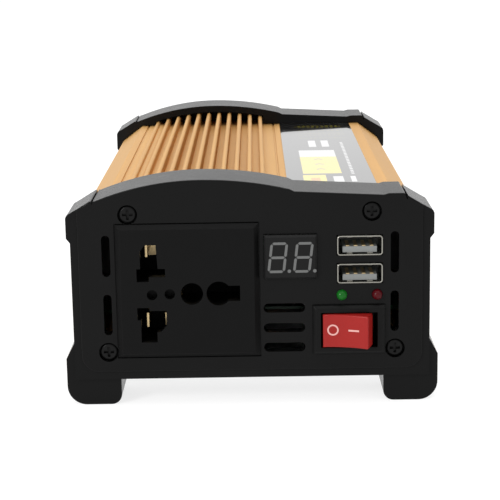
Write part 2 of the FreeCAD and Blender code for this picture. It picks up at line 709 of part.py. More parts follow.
def bottom_plate():
    plate = box(-CASING_HALF, CASING_HALF, CASING_FRONT, CASING_BACK, PLATE_BOTTOM, PLATE_TOP)
    cuts = []
    for x, y in plate_screw_places():
        cuts.append(rod_z(x, y, SCREW_RADIUS + SCREW_FIT, PLATE_BOTTOM - 1, PLATE_TOP + 1))
        cuts.append(Part.makeCone(PLATE_HEAD_RADIUS + SCREW_FIT, SCREW_RADIUS + SCREW_FIT, PLATE_HEAD_DEPTH,
                                  vec(x, y, PLATE_BOTTOM), vec(0, 0, 1)))
    return cut(plate, cuts)


def bottom_plate_screws():
    solids = []
    for x, y in plate_screw_places():
        start = vec(x, y, PLATE_BOTTOM)
        head = Part.makeCone(PLATE_HEAD_RADIUS, SCREW_RADIUS, PLATE_HEAD_DEPTH, start, vec(0, 0, 1))
        shank = rod_z(x, y, SCREW_RADIUS, PLATE_BOTTOM + PLATE_HEAD_DEPTH, PLATE_BOTTOM + PLATE_SCREW_LENGTH)
        recess_top = PLATE_BOTTOM + PLATE_HEAD_DEPTH / 2
        bars = [box(x - a / 2, x + a / 2, y - b / 2, y + b / 2, PLATE_BOTTOM - 1, recess_top)
                for a, b in ((CROSS_SPAN, CROSS_WIDTH), (CROSS_WIDTH, CROSS_SPAN))]
        solids.append(cut(fuse([head, shank]), bars))
    return Part.makeCompound(solids)


def top_label():
    y0 = Y_FRONT + COVER_DEPTH + LABEL_END_GAP
    y1 = Y_BACK - COVER_DEPTH - LABEL_END_GAP
    return box(LABEL_X[0], LABEL_X[1], y0, y1, CASING_TOP, CASING_TOP + LABEL_THICKNESS)


def socket_holes(grow, y0, y1):
    """Openings for the blades and pins, grown all round, from y0 to y1: live, neutral and earth."""
    cx, cz = SOCKET_CENTRE
    live = [profile((cx + p[0][0], cz + p[0][1]), [(cx + x, cz + z) for x, z in p[1:]])
            for p in (LIVE_HOLE, NEUTRAL_HOLE)]
    solids = [prism(f, y0, y1) for f in live]
    solids += [rod_y(cx + x, cz + z, GUIDE_RADIUS, y0, y1) for x, z in GUIDE_HOLES]
    earth = [rod_y(cx + x, cz + z, r + grow, y0, y1) for x, z, r in (EARTH_SMALL, EARTH_LARGE)]
    x0, x1, high = EARTH_SLOT
    z = cz + EARTH_LARGE[1]
    earth.append(box(cx + x0, cx + x1, y0, y1, z - high / 2, z + high / 2))
    return solids + [fuse(earth)]


def chamber_boxes():
    """The three contact chambers behind the holes, as X and Z limits: live, neutral and earth."""
    cx, cz = SOCKET_CENTRE
    limits = []
    for points in (LIVE_HOLE, NEUTRAL_HOLE):
        xs = [x for x, _ in points]
        zs = [z for _, z in points]
        limits.append((min(xs), max(xs), min(zs), max(zs)))
    reach = EARTH_LARGE[2]
    x0, x1 = EARTH_SMALL[0] - EARTH_SMALL[2], EARTH_SLOT[1]
    limits.append((x0, x1, EARTH_LARGE[1] - reach, EARTH_LARGE[1] + reach))
    m = CHAMBER_MARGIN
    return [(cx + a - m, cx + b + m, cz + c - m, cz + d + m) for a, b, c, d in limits]


def socket_housing():
    y_face = Y_FRONT - SOCKET_RISE
    y_back = Y_FRONT + SOCKET_BODY_DEPTH
    y_seat = Y_FRONT + SOCKET_SEAT_DEPTH
    frame = block(SOCKET_CENTRE, SOCKET_WIDTH, SOCKET_HEIGHT, y_face, y_seat)
    rim = [e for e in frame.Edges if abs(e.CenterOfMass.y - y_face) < 1e-6]
    frame = frame.makeChamfer(SOCKET_CHAMFER, rim)
    width, height = SOCKET_WIDTH - 2 * SOCKET_FRAME, SOCKET_HEIGHT - 2 * SOCKET_FRAME
    body = block(SOCKET_CENTRE, width, height, y_seat, y_back)
    inside = y_face + SOCKET_FACE_THICKNESS
    cuts = socket_holes(0, y_face - 1, inside + 1)
    cuts += [box(a, b, inside, y_back - CHAMBER_FLOOR, c, d) for a, b, c, d in chamber_boxes()]
    cuts += [tail_slot(clip, y_back) for clip in contact_clips()]
    return cut(fuse([frame, body]), cuts)


def contact_clips():
    """Each clip's X limits, Z limits and the Z limits of its bridge: live, neutral and earth."""
    cx, cz = SOCKET_CENTRE
    half = CONTACT_GRIP / 2 + CONTACT_THICKNESS
    x_limits = (cx + PIN_LINE_X - half, cx + PIN_LINE_X + half)
    clips = []
    for z, side in ((cz + LIVE_PIN_Z, -1), (cz + NEUTRAL_PIN_Z, 1)):
        edge = z + side * CONTACT_HEIGHT / 2
        bridge = sorted((edge - side * BRIDGE_LAP, edge + side * (BRIDGE_HEIGHT - BRIDGE_LAP)))
        clips.append(x_limits + (z - CONTACT_HEIGHT / 2, z + CONTACT_HEIGHT / 2) + tuple(bridge))
    x0, x1, z0, z1 = chamber_boxes()[-1]
    gap = CONTACT_WALL_GAP
    clips.append((x0 + gap, x1 - gap, z0 + gap, z1 - gap, z1 - gap - BRIDGE_HEIGHT, z1 - gap))
    return clips


def tail_place(clip):
    x0, _, z0, z1, _, _ = clip
    return x0 + CONTACT_THICKNESS / 2, (z0 + z1) / 2


def tail_slot(clip, y_back):
    return block(tail_place(clip), CONTACT_THICKNESS + 2 * SCREW_FIT, CONTACT_TAIL_WIDTH + 2 * SCREW_FIT,
                 y_back - CHAMBER_FLOOR - 1, y_back + 1)


def contact(clip):
    """A spring clip: two cheeks, a bridge at their back and a solder tail through the housing."""
    x0, x1, z0, z1, bridge_low, bridge_high = clip
    y1 = Y_FRONT + SOCKET_BODY_DEPTH - CHAMBER_FLOOR
    y0 = y1 - CONTACT_DEPTH
    t = CONTACT_THICKNESS
    cheeks = [box(x0, x0 + t, y0, y1, z0, z1), box(x1 - t, x1, y0, y1, z0, z1)]
    bridge = box(x0, x1, y1 - t, y1, bridge_low, bridge_high)
    tail = block(tail_place(clip), t, CONTACT_TAIL_WIDTH, y1 - t, Y_FRONT + SOCKET_BODY_DEPTH + CONTACT_TAIL)
    return fuse(cheeks + [bridge, tail])


def display_module():
    y0 = Y_FRONT - DISPLAY_RISE
    body = block(DISPLAY_CENTRE, DISPLAY_WIDTH, DISPLAY_HEIGHT, y0, Y_FRONT + DISPLAY_DEPTH)
    rim = [e for e in body.Edges if abs(e.CenterOfMass.y - y0) < 1e-6]
    body = body.makeChamfer(DISPLAY_EDGE, rim)
    return cut(body, segment_solids(y0, y0 + SEGMENT_DEPTH))


def slanted(points, cx, cz, y0, y1):
    skewed = [(cx + x + DIGIT_SLANT * z, cz + z) for x, z in points]
    return prism(profile(skewed[0], skewed[1:]), y0, y1)


def segment_solids(y0, y1):
    """Fourteen bars and two dots of the two slanted digits."""
    w, h, t, g = DIGIT_WIDTH / 2, DIGIT_HEIGHT / 2, DIGIT_STROKE, DIGIT_GAP
    level = [(-w + g, 0), (-w + t / 2 + g, t / 2), (w - t / 2 - g, t / 2), (w - g, 0),
             (w - t / 2 - g, -t / 2), (-w + t / 2 + g, -t / 2)]
    upright = [(0, g), (t / 2, t / 2 + g), (t / 2, h - t / 2 - g), (0, h - g),
               (-t / 2, h - t / 2 - g), (-t / 2, t / 2 + g)]
    solids = []
    for s in (-1, 1):
        cx = DISPLAY_CENTRE[0] + s * DIGIT_PITCH / 2
        cz = DISPLAY_CENTRE[1]
        for z in (-h, 0, h):
            solids.append(slanted([(x, z + dz) for x, dz in level], cx, cz, y0, y1))
        for x in (-w, w):
            for z in (-h, 0):
                solids.append(slanted([(x + dx, z + dz) for dx, dz in upright], cx, cz, y0, y1))
        solids.append(rod_y(cx + DOT_OFFSET[0], cz + DOT_OFFSET[1], DOT_RADIUS, y0, y1))
    return solids


def display_segments():
    y0 = Y_FRONT - DISPLAY_RISE
    return Part.makeCompound(segment_solids(y0 - SEGMENT_PROUD, y0 + SEGMENT_DEPTH))


def panel_board():
    """Small circuit board behind the display."""
    y0 = Y_FRONT + DISPLAY_DEPTH
    width, height = DISPLAY_WIDTH + 2 * PANEL_BOARD_MARGIN, DISPLAY_HEIGHT + 2 * PANEL_BOARD_MARGIN
    return block(DISPLAY_CENTRE, width, height, y0, y0 + PANEL_BOARD_THICKNESS)


def usb_heights():
    return [USB_CENTRE[1] + s * USB_PITCH / 2 for s in (-1, 1)]


def usb_shells():
    y0 = Y_FRONT - USB_RISE
    solids = []
    for z in usb_heights():
        centre = (USB_CENTRE[0], z)
        outer = block(centre, USB_WIDTH, USB_HEIGHT, y0, y0 + USB_DEPTH)
        inner = block(centre, USB_WIDTH - 2 * USB_WALL, USB_HEIGHT - 2 * USB_WALL, y0 - 1, y0 + USB_DEPTH + 1)
        solids.append(cut(outer, [inner]))
    return Part.makeCompound(solids)


def usb_tongues():
    y0 = Y_FRONT - USB_RISE
    solids = []
    for z in usb_heights():
        x = USB_CENTRE[0]
        y_back = y0 + USB_DEPTH
        tongue = block((x, z + TONGUE_OFFSET), TONGUE_WIDTH, TONGUE_THICKNESS, y0 + TONGUE_SETBACK, y_back)
        width, height = USB_WIDTH - 2 * USB_WALL, USB_HEIGHT - 2 * USB_WALL
        back = block((x, z), width, height, y_back - USB_BACK_WALL, y_back)
        solids.append(fuse([tongue, back]))
    return Part.makeCompound(solids)


def usb_contacts():
    """Spring strips on the upper face of each tongue."""
    y0 = Y_FRONT - USB_RISE + TONGUE_SETBACK + USB_WALL
    solids = []
    for z in usb_heights():
        top = z + TONGUE_OFFSET + TONGUE_THICKNESS / 2
        for i in range(USB_PIN_COUNT):
            x = USB_CENTRE[0] + (i - (USB_PIN_COUNT - 1) / 2) * USB_PIN_PITCH
            solids.append(box(x - USB_PIN_WIDTH / 2, x + USB_PIN_WIDTH / 2, y0, y0 + USB_PIN_LENGTH,
                              top, top + USB_PIN_THICKNESS))
    return Part.makeCompound(solids)


def usb_board():
    """Upright circuit board that both USB ports are soldered to."""
    y0 = Y_FRONT - USB_RISE + USB_DEPTH
    height = USB_PITCH + USB_HEIGHT + 2 * PANEL_BOARD_MARGIN
    return block(USB_CENTRE, USB_WIDTH + 2 * PANEL_BOARD_MARGIN, height, y0, y0 + PANEL_BOARD_THICKNESS)


def led(x):
    dome = Part.makeSphere(LED_RADIUS, vec(x, Y_FRONT - LED_RISE + LED_RADIUS, LED_Z))
    y1 = Y_FRONT + FACE_THICKNESS + LED_FLANGE
    body = rod_y(x, LED_Z, LED_RADIUS, Y_FRONT - LED_RISE + LED_RADIUS, y1)
    flange = rod_y(x, LED_Z, LED_FLANGE_RADIUS, Y_FRONT + FACE_THICKNESS, y1)
    legs = [rod_y(x + s * LED_RADIUS / 2, LED_Z, LED_RADIUS / 6, y1 - LED_FLANGE / 2, y1 + LED_BODY_DEPTH)
            for s in (-1, 1)]
    return fuse([dome, body, flange] + legs)


def switch_housing():
    y_top = Y_FRONT - BEZEL_RISE
    y_end = Y_FRONT + SWITCH_BODY_DEPTH
    bezel = block(SWITCH_CENTRE, BEZEL_WIDTH, BEZEL_HEIGHT, y_top, Y_FRONT)
    rim = [e for e in bezel.Edges if abs(e.CenterOfMass.y - y_top) < 1e-6]
    bezel = bezel.makeChamfer(BEZEL_RISE / 2, rim)
    body = block(SWITCH_CENTRE, SWITCH_BODY_WIDTH, SWITCH_BODY_HEIGHT, Y_FRONT, y_end)
    opening = block(SWITCH_CENTRE, SWITCH_OPENING_WIDTH, SWITCH_OPENING_HEIGHT, y_top - 1,
                    Y_FRONT + SWITCH_OPENING_DEPTH)
    x, z = SWITCH_CENTRE
    reach = ROCKER_HEIGHT / 2 + PIVOT_REACH + PIVOT_FIT
    pivot = rod_z(x, Y_FRONT + PIVOT_DEPTH, PIVOT_RADIUS + PIVOT_FIT, z - reach, z + reach)
    slots = [terminal(s, SCREW_FIT, y_end - 3 * BEZEL_RISE) for s in (-1, 1)]
    return cut(fuse([bezel, body]), [opening, pivot] + slots)


def terminal(side, grow, y0):
    x = SWITCH_CENTRE[0] + side * TERMINAL_SPACING / 2
    y1 = Y_FRONT + SWITCH_BODY_DEPTH + TERMINAL_LENGTH
    width, height = TERMINAL_THICKNESS + 2 * grow, TERMINAL_WIDTH + 2 * grow
    return block((x, SWITCH_CENTRE[1]), width, height, y0 - grow, y1)


def switch_terminals():
    y0 = Y_FRONT + SWITCH_BODY_DEPTH - 3 * BEZEL_RISE
    return Part.makeCompound([terminal(s, 0, y0) for s in (-1, 1)])


def switch_rocker():
    """Rocker with two facets that meet in a shallow valley, lying with its left end pressed in."""
    a, b = ROCKER_TOP_HALF, ROCKER_BASE_HALF
    high = ROCKER_END_REACH
    valley = high - a * math.tan(math.radians(ROCKER_FACET_DEG))
    points = [(0, valley), (a, high), (b, 0), (ROCKER_KEEL_HALF, -ROCKER_KEEL_DROP),
              (-ROCKER_KEEL_HALF, -ROCKER_KEEL_DROP), (-b, 0), (-a, high)]
    x, z = SWITCH_CENTRE
    pivot_y = Y_FRONT + PIVOT_DEPTH
    half = ROCKER_HEIGHT / 2
    corners = [vec(x + u, pivot_y - w, z - half) for u, w in points]
    body = Part.Face(Part.makePolygon(corners + corners[:1])).extrude(vec(0, 0, ROCKER_HEIGHT))
    reach = half + PIVOT_REACH
    pin = rod_z(x, pivot_y, PIVOT_RADIUS, z - reach, z + reach)
    rocker = fuse([body, pin])
    rocker.rotate(vec(x, pivot_y, z), vec(0, 0, 1), -ROCKER_TILT_DEG)
    return rocker


def fan_screw_places():
    x, z = FAN_CENTRE
    half = FAN_SCREW_PITCH / 2
    return [(x + a * half, z + b * half) for a in (-1, 1) for b in (-1, 1)]


def fan_back():
    """Y of the fan's face against the rear cover."""
    return Y_BACK - FACE_THICKNESS


def fan_frame():
    y1 = fan_back()
    y0 = y1 - FAN_DEPTH
    frame = block(FAN_CENTRE, FAN_SIZE, FAN_SIZE, y0, y1)
    corners = [e for e in frame.Edges if abs(e.Vertexes[0].Y - e.Vertexes[-1].Y) > FAN_DEPTH / 2]
    frame = frame.makeFillet(3 * FAN_PLATE, corners)
    x, z = FAN_CENTRE
    frame = cut(frame, [rod_y(x, z, FAN_BORE_RADIUS, y0 - 1, y1 + 1)])
    span = 2 * FAN_BORE_RADIUS + FAN_PLATE
    spokes = [block(FAN_CENTRE, span, 2 * FAN_PLATE, y0, y0 + FAN_PLATE),
              block(FAN_CENTRE, 2 * FAN_PLATE, span, y0, y0 + FAN_PLATE)]
    cup = rod_y(x, z, HUB_RADIUS, y0, y0 + FAN_PLATE)
    holes = [rod_y(a, b, FAN_SCREW_RADIUS + SCREW_FIT, y0 - 1, y1 + 1) for a, b in fan_screw_places()]
    holes.append(rod_y(x, z, SPINDLE_RADIUS + PIVOT_FIT, y0 - 1, y1))
    return cut(fuse([frame, cup] + spokes), holes)


def fan_stator():
    """Wound stator with the steel spindle that the rotor turns on."""
    x, z = FAN_CENTRE
    y0 = fan_back() - FAN_DEPTH + FAN_PLATE
    core = rod_y(x, z, STATOR_RADIUS, y0, y0 + HUB_DEPTH - HUB_WALL - 2 * ROTOR_GAP)
    slots = []
    for i in range(4):
        half = STATOR_SLOT / 2
        x0, x1 = x + STATOR_BODY, x + STATOR_RADIUS + 1
        groove = box(x0, x1, y0 + FAN_PLATE, y0 + HUB_DEPTH, z - half, z + half)
        groove.rotate(vec(x, 0, z), vec(0, 1, 0), 90.0 * i + 45.0)
        slots.append(groove)
    core = cut(core, slots)
    spindle = rod_y(x, z, SPINDLE_RADIUS, y0 - FAN_PLATE, y0 + HUB_DEPTH - ROTOR_GAP)
    return fuse([core, spindle])


def fan_rotor():
    """Hub with seven twisted blades. The hub's cup closes over the stator."""
    x, z = FAN_CENTRE
    y0 = fan_back() - FAN_DEPTH + FAN_PLATE + ROTOR_GAP
    y1 = y0 + HUB_DEPTH
    hub = rod_y(x, z, HUB_RADIUS, y0, y1)
    hub = cut(hub, [rod_y(x, z, HUB_RADIUS - HUB_WALL, y0 - 1, y1 - HUB_WALL)])
    pieces = [hub]
    length = FAN_BORE_RADIUS - BLADE_TIP_GAP - HUB_RADIUS + 0.5
    reach = (HUB_DEPTH - 1.0) / math.cos(math.radians(BLADE_TWIST_DEG)) - BLADE_THICKNESS
    for i in range(BLADE_COUNT):
        blade = Part.makeBox(length, reach, BLADE_THICKNESS, vec(0, -reach / 2, -BLADE_THICKNESS / 2))
        blade.rotate(vec(0, 0, 0), vec(1, 0, 0), BLADE_TWIST_DEG)
        blade.translate(vec(HUB_RADIUS - 0.5, 0, 0))
        blade.rotate(vec(0, 0, 0), vec(0, 1, 0), 360.0 * i / BLADE_COUNT)
        blade.translate(vec(x, (y0 + y1) / 2, z))
        pieces.append(blade)
    body = fuse(pieces)
    limit = rod_y(x, z, FAN_BORE_RADIUS - BLADE_TIP_GAP, y0, y1)
    bore = [rod_y(x, z, SPINDLE_RADIUS + PIVOT_FIT, y0 - 1, y0 + HUB_DEPTH - 2 * ROTOR_GAP)]
    body = body.common(limit)
    core = rod_y(x, z, HUB_RADIUS - HUB_WALL, y0 - 1, y1 - HUB_WALL)
    return cut(body, bore + [core])


def fan_guard():
    """Guard of flat rings on two crossed bars, with an eye at each screw."""
    half = FAN_SCREW_PITCH / 2
    corners = [(a * half, b * half) for a in (-1, 1) for b in (-1, 1)]
    low, high = GUARD_LIFT, GUARD_LIFT + 2 * GUARD_WIRE
    pieces = [rod_y(x, z, GUARD_EYE_RADIUS, 0, GUARD_EYE_THICKNESS) for x, z in corners]
    for radius in GUARD_RINGS:
        ring = rod_y(0, 0, radius + GUARD_WIRE, low, high)
        pieces.append(cut(ring, [rod_y(0, 0, radius - GUARD_WIRE, -1, high + 1)]))
    reach = math.hypot(half, half) - SCREW_HEAD_RADIUS - SCREW_FIT
    for turn in (45, 135):
        bar = box(-reach, reach, low, high, -GUARD_WIRE, GUARD_WIRE)
        bar.rotate(vec(0, 0, 0), vec(0, 1, 0), turn)
        pieces.append(bar)
    holes = [rod_y(x, z, FAN_SCREW_RADIUS + SCREW_FIT, -1, high + 1) for x, z in corners]
    holes.append(rod_y(0, 0, GUARD_RINGS[-1] - GUARD_WIRE, -1, high + 1))
    guard = cut(fuse(pieces), holes)
    guard.translate(vec(FAN_CENTRE[0], Y_BACK, FAN_CENTRE[1]))
    return guard


def fan_screws():
    """Long screws from outside through the guard, the cover and the fan frame, each with its nut."""
    solids = []
    seat = Y_BACK + GUARD_EYE_THICKNESS
    for x, z in fan_screw_places():
        head = rod_y(x, z, SCREW_HEAD_RADIUS, seat, seat + SCREW_HEAD_HEIGHT)
        top = [e for e in head.Edges if abs(e.CenterOfMass.y - seat - SCREW_HEAD_HEIGHT) < 1e-6]
        head = head.makeFillet(SCREW_HEAD_HEIGHT / 2, top)
        bars = [block((x, z), a, b, seat + SCREW_HEAD_HEIGHT - CROSS_DEPTH, seat + 2 * SCREW_HEAD_HEIGHT)
                for a, b in ((CROSS_SPAN, CROSS_WIDTH), (CROSS_WIDTH, CROSS_SPAN))]
        y_tip = fan_back() - FAN_DEPTH - 2 * SCREW_HEAD_HEIGHT
        shank = rod_y(x, z, FAN_SCREW_RADIUS, y_tip, seat)
        solids.append(cut(fuse([head, shank]), bars))
    return Part.makeCompound(solids)


def hexagon(x, z, across, y0, y1):
    radius = across / math.sqrt(3)
    corners = [(x + radius * math.cos(math.radians(60 * i)), z + radius * math.sin(math.radians(60 * i)))
               for i in range(6)]
    return prism(profile(corners[0], corners[1:]), y0, y1)


def fan_nuts():
    y1 = fan_back() - FAN_DEPTH
    solids = []
    for x, z in fan_screw_places():
        nut = hexagon(x, z, 2 * SCREW_HEAD_RADIUS, y1 - SCREW_HEAD_HEIGHT, y1)
        solids.append(cut(nut, [rod_y(x, z, FAN_SCREW_RADIUS + SCREW_FIT, y1 - 5, y1 + 1)]))
    return Part.makeCompound(solids)


def post_base(x):
    """Insulating collar outside the rear cover, with a spigot through it."""
    y0 = Y_BACK
    collar = rod_y(x, POST_Z, POST_COLLAR_RADIUS, y0, y0 + POST_COLLAR_LENGTH)
    rim = [e for e in collar.Edges if abs(e.CenterOfMass.y - y0 - POST_COLLAR_LENGTH) < 1e-6]
    collar = collar.makeChamfer(POST_WASHER_THICKNESS, rim)
    spigot = rod_y(x, POST_Z, POST_SPIGOT_RADIUS, y0 - FACE_THICKNESS, y0)
    bore = rod_y(x, POST_Z, STUD_RADIUS + SCREW_FIT, y0 - FACE_THICKNESS - 1, y0 + POST_COLLAR_LENGTH + 1)
    return cut(fuse([collar, spigot]), [bore])


def post_studs():
    y0 = Y_BACK - FACE_THICKNESS - STUD_INSIDE
    solids = []
    for x in POST_X.values():
        stud = rod_y(x, POST_Z, STUD_RADIUS, y0, Y_BACK + REAR_REACH)
        ends = [e for e in stud.Edges if e.Curve.TypeId == "Part::GeomCircle"]
        solids.append(stud.makeChamfer(STUD_RADIUS / 5, ends))
    return Part.makeCompound(solids)


def washer_seat():
    return Y_BACK + POST_COLLAR_LENGTH


def post_washer(x):
    y0 = washer_seat()
    disc = rod_y(x, POST_Z, POST_WASHER_RADIUS, y0, y0 + POST_WASHER_THICKNESS)
    return cut(disc, [rod_y(x, POST_Z, STUD_RADIUS + KNOB_FIT, y0 - 1, y0 + 2 * POST_WASHER_THICKNESS)])


def post_knob(x):
    """Fluted knob, open at its outer end, where the stud shows."""
    y0 = washer_seat() + POST_WASHER_THICKNESS
    knob = rod_y(x, POST_Z, KNOB_RADIUS, y0, y0 + KNOB_LENGTH)
    ends = [e for e in knob.Edges if e.Curve.TypeId == "Part::GeomCircle" and e.CenterOfMass.y > y0 + 1]
    knob = knob.makeFillet(KNOB_FLUTE_RADIUS, ends)
    cuts = [rod_y(x, POST_Z, STUD_RADIUS + KNOB_FIT, y0 - 1, y0 + KNOB_LENGTH + 1)]
    for i in range(KNOB_FLUTES):
        turn = 2 * math.pi * i / KNOB_FLUTES
        cuts.append(rod_y(x + KNOB_RADIUS * math.cos(turn), POST_Z + KNOB_RADIUS * math.sin(turn),
                          KNOB_FLUTE_RADIUS, y0 + POST_WASHER_THICKNESS, y0 + KNOB_LENGTH + 1))
    return cut(knob, cuts)


def post_lug(x):
    """Ring terminal inside the rear cover, with its barrel pointing up."""
    y1 = Y_BACK - FACE_THICKNESS
    y0 = y1 - LUG_THICKNESS
    ring = rod_y(x, POST_Z, LUG_RADIUS, y0, y1)
    neck_top = POST_Z + LUG_RADIUS + LUG_BARREL_RISE
    neck = box(x - LUG_BARREL_RADIUS, x + LUG_BARREL_RADIUS, y0, y1, POST_Z, neck_top)
    y_mid = y1 - LUG_BARREL_RADIUS
    barrel = rod_z(x, y_mid, LUG_BARREL_RADIUS, neck_top - LUG_THICKNESS, neck_top + LUG_BARREL_LENGTH)
    solid = fuse([ring, neck, barrel])
    hole = rod_y(x, POST_Z, STUD_RADIUS + SCREW_FIT, y0 - 1, y1 + 1)
    bore = rod_z(x, y_mid, DC_LEAD_RADIUS, neck_top, neck_top + LUG_BARREL_LENGTH + 1)
    return cut(solid, [hole, bore])


def post_nuts():
    y1 = Y_BACK - FACE_THICKNESS - LUG_THICKNESS
    solids = []
    for x in POST_X.values():
        nut = hexagon(x, POST_Z, NUT_ACROSS, y1 - NUT_THICKNESS, y1)
        solids.append(cut(nut, [rod_y(x, POST_Z, STUD_RADIUS + SCREW_FIT, y1 - NUT_THICKNESS - 1, y1 + 1)]))
    return Part.makeCompound(solids)


def dc_lead(x):
    """Supply lead from the lug's barrel over to the main board."""
    y = Y_BACK - FACE_THICKNESS - LUG_BARREL_RADIUS
    z = POST_Z + LUG_RADIUS + LUG_BARREL_RISE
    top = CEILING - 2 * DC_LEAD_RADIUS
    points = [(x, y, z), (x, y, top - DC_LEAD_CREST)]
    points += [(x, y - run, top - drop) for run, drop in DC_LEAD_STEPS]
    points.append((x, y - DC_LEAD_STEPS[-1][0], BOARD_TOP))
    return tube(points, DC_LEAD_RADIUS)


def board_half():
    return CASING_HALF - CASING_WALL - BOARD_SIDE_GAP


def standoff_places():
    rows = (BOARD_FRONT + STANDOFF_END, BOARD_BACK - STANDOFF_END)
    return [(s * STANDOFF_X, y) for s in (-1, 1) for y in rows]


def main_board():
    half = board_half()
    board = box(-half, half, BOARD_FRONT, BOARD_BACK, BOARD_BOTTOM, BOARD_TOP)
    radius = SCREW_RADIUS + SCREW_FIT
    holes = [rod_z(x, y, radius, BOARD_BOTTOM - 1, BOARD_TOP + 1) for x, y in standoff_places()]
    return cut(board, holes)


def board_standoffs():
    solids = []
    for x, y in standoff_places():
        post = rod_z(x, y, STANDOFF_RADIUS, PLATE_TOP, BOARD_BOTTOM)
        solids.append(cut(post, [rod_z(x, y, SCREW_RADIUS + SCREW_FIT, PLATE_TOP + 1, BOARD_BOTTOM + 1)]))
    return Part.makeCompound(solids)


def board_screws():
    solids = []
    for x, y in standoff_places():
        head = rod_z(x, y, SCREW_HEAD_RADIUS, BOARD_TOP, BOARD_TOP + SCREW_HEAD_HEIGHT)
        shank = rod_z(x, y, SCREW_RADIUS, BOARD_TOP - BOARD_SCREW_LENGTH, BOARD_TOP)
        solids.append(fuse([head, shank]))
    return Part.makeCompound(solids)


def transformer_place():
    """X centre and Y centre of the transformer."""
    return TRANSFORMER_X, BOARD_BACK - TRANSFORMER_REAR - TRANSFORMER_SIZE[1] / 2


def transformer_core():
    x, y = transformer_place()
    w, d, h = TRANSFORMER_SIZE
    limb = CORE_LIMB
    body = box(x - w / 2, x + w / 2, y - d / 4, y + d / 4, BOARD_TOP, BOARD_TOP + h)
    windows = [box(x + s * (w / 4) - (w / 4 - limb * 0.75), x + s * (w / 4) + (w / 4 - limb * 0.75),
                   y - d, y + d, BOARD_TOP + (h - BOBBIN_HEIGHT) / 2, BOARD_TOP + (h + BOBBIN_HEIGHT) / 2)
               for s in (-1, 1)]
    return cut(body, windows)


def transformer_winding():
    """Bobbin and coil round the middle limb."""
    x, y = transformer_place()
    w, d, h = TRANSFORMER_SIZE
    gap = BOBBIN_GAP
    half = w / 2 - CORE_LIMB * 0.75 - gap
    z0 = BOARD_TOP + (h - BOBBIN_HEIGHT) / 2 + gap
    z1 = BOARD_TOP + (h + BOBBIN_HEIGHT) / 2 - gap
    coil = box(x - half, x + half, y - d / 2, y + d / 2, z0, z1)
    corners = [e for e in coil.Edges if abs(e.Vertexes[0].Z - e.Vertexes[-1].Z) > BOBBIN_HEIGHT / 2]
    coil = coil.makeFillet(CORE_LIMB / 2, corners)
    limb_half = CORE_LIMB * 0.75 + gap
    hole = box(x - limb_half, x + limb_half, y - d / 4 - gap, y + d / 4 + gap, z0 - 1, z1 + 1)
    return cut(coil, [hole])


def choke_place():
    return CHOKE_CENTRE[0], BOARD_FRONT + CHOKE_CENTRE[1]


def choke_core():
    x, y = choke_place()
    z0 = BOARD_TOP + 2 * CHOKE_WIRE + CHOKE_LIFT
    ring = rod_z(x, y, CHOKE_RADIUS, z0, z0 + CHOKE_HEIGHT)
    return cut(ring, [rod_z(x, y, CHOKE_BORE, z0 - 1, z0 + CHOKE_HEIGHT + 1)])


def choke_winding():
    """Separate turns of copper round the toroid, and a cradle of two legs down to the board."""
    x, y = choke_place()
    z0 = BOARD_TOP + 2 * CHOKE_WIRE + CHOKE_LIFT
    w = CHOKE_WIRE
    fit = SLIDE_FIT / 2
    outer = box(CHOKE_BORE - fit - w, CHOKE_RADIUS + fit + w, -w, w, -fit - w, CHOKE_HEIGHT + fit + w)
    inner = box(CHOKE_BORE - fit, CHOKE_RADIUS + fit, -2 * w, 2 * w, -fit, CHOKE_HEIGHT + fit)
    turn = cut(outer, [inner])
    solids = []
    for i in range(CHOKE_TURNS):
        loop = turn.copy()
        loop.rotate(vec(0, 0, 0), vec(0, 0, 1), 360.0 * (i + 0.5) / CHOKE_TURNS)
        loop.translate(vec(x, y, z0))
        solids.append(loop)
    middle = (CHOKE_BORE + CHOKE_RADIUS) / 2
    turns = math.radians(180.0 / CHOKE_TURNS)
    legs = [rod_z(x + middle * math.cos(turns + a), y + middle * math.sin(turns + a), w, BOARD_TOP, z0 - fit)
            for a in (0, math.pi)]
    solids = [fuse([solids[0], legs[0]]), fuse([solids[CHOKE_TURNS // 2], legs[1]])] + \
        [s for i, s in enumerate(solids) if i not in (0, CHOKE_TURNS // 2)]
    return Part.makeCompound(solids)


def capacitor(x, y, radius, height):
    """Can with a rolled neck near its foot."""
    can = rod_z(x, y, radius, BOARD_TOP, BOARD_TOP + height)
    rim = [e for e in can.Edges if e.Curve.TypeId == "Part::GeomCircle" and e.CenterOfMass.z > BOARD_TOP + 1]
    can = can.makeFillet(CAP_SLEEVE_GAP * 0.8, rim)
    groove = Part.makeTorus(radius + 0.3, CAP_SLEEVE_GAP * 0.8, vec(x, y, BOARD_TOP + 2.5 * CAP_SLEEVE_GAP))
    return can.cut(groove)


def bus_capacitor():
    x, y = BUS_CAP_CENTRE
    return capacitor(x, BOARD_FRONT + y, BUS_CAP_RADIUS, BUS_CAP_HEIGHT)


def input_capacitors():
    x, rear = INPUT_CAP_FIRST
    rows = [BOARD_BACK - rear - i * INPUT_CAP_PITCH for i in range(INPUT_CAP_COUNT)]
    return Part.makeCompound([capacitor(x, y, INPUT_CAP_RADIUS, INPUT_CAP_HEIGHT) for y in rows])


def mosfet_places():
    """Side and Y centre of each transistor along both walls."""
    return [(s, BOARD_FRONT + MOSFET_FRONT + i * MOSFET_PITCH) for s in (-1, 1) for i in range(MOSFET_COUNT)]


def wall_inside():
    return CASING_HALF - CASING_WALL


def side_box(side, x0, x1, y0, y1, z0, z1):
    """A box given by its distances from the middle plane, on either side."""
    return box(x0, x1, y0, y1, z0, z1) if side > 0 else box(-x1, -x0, y0, y1, z0, z1)


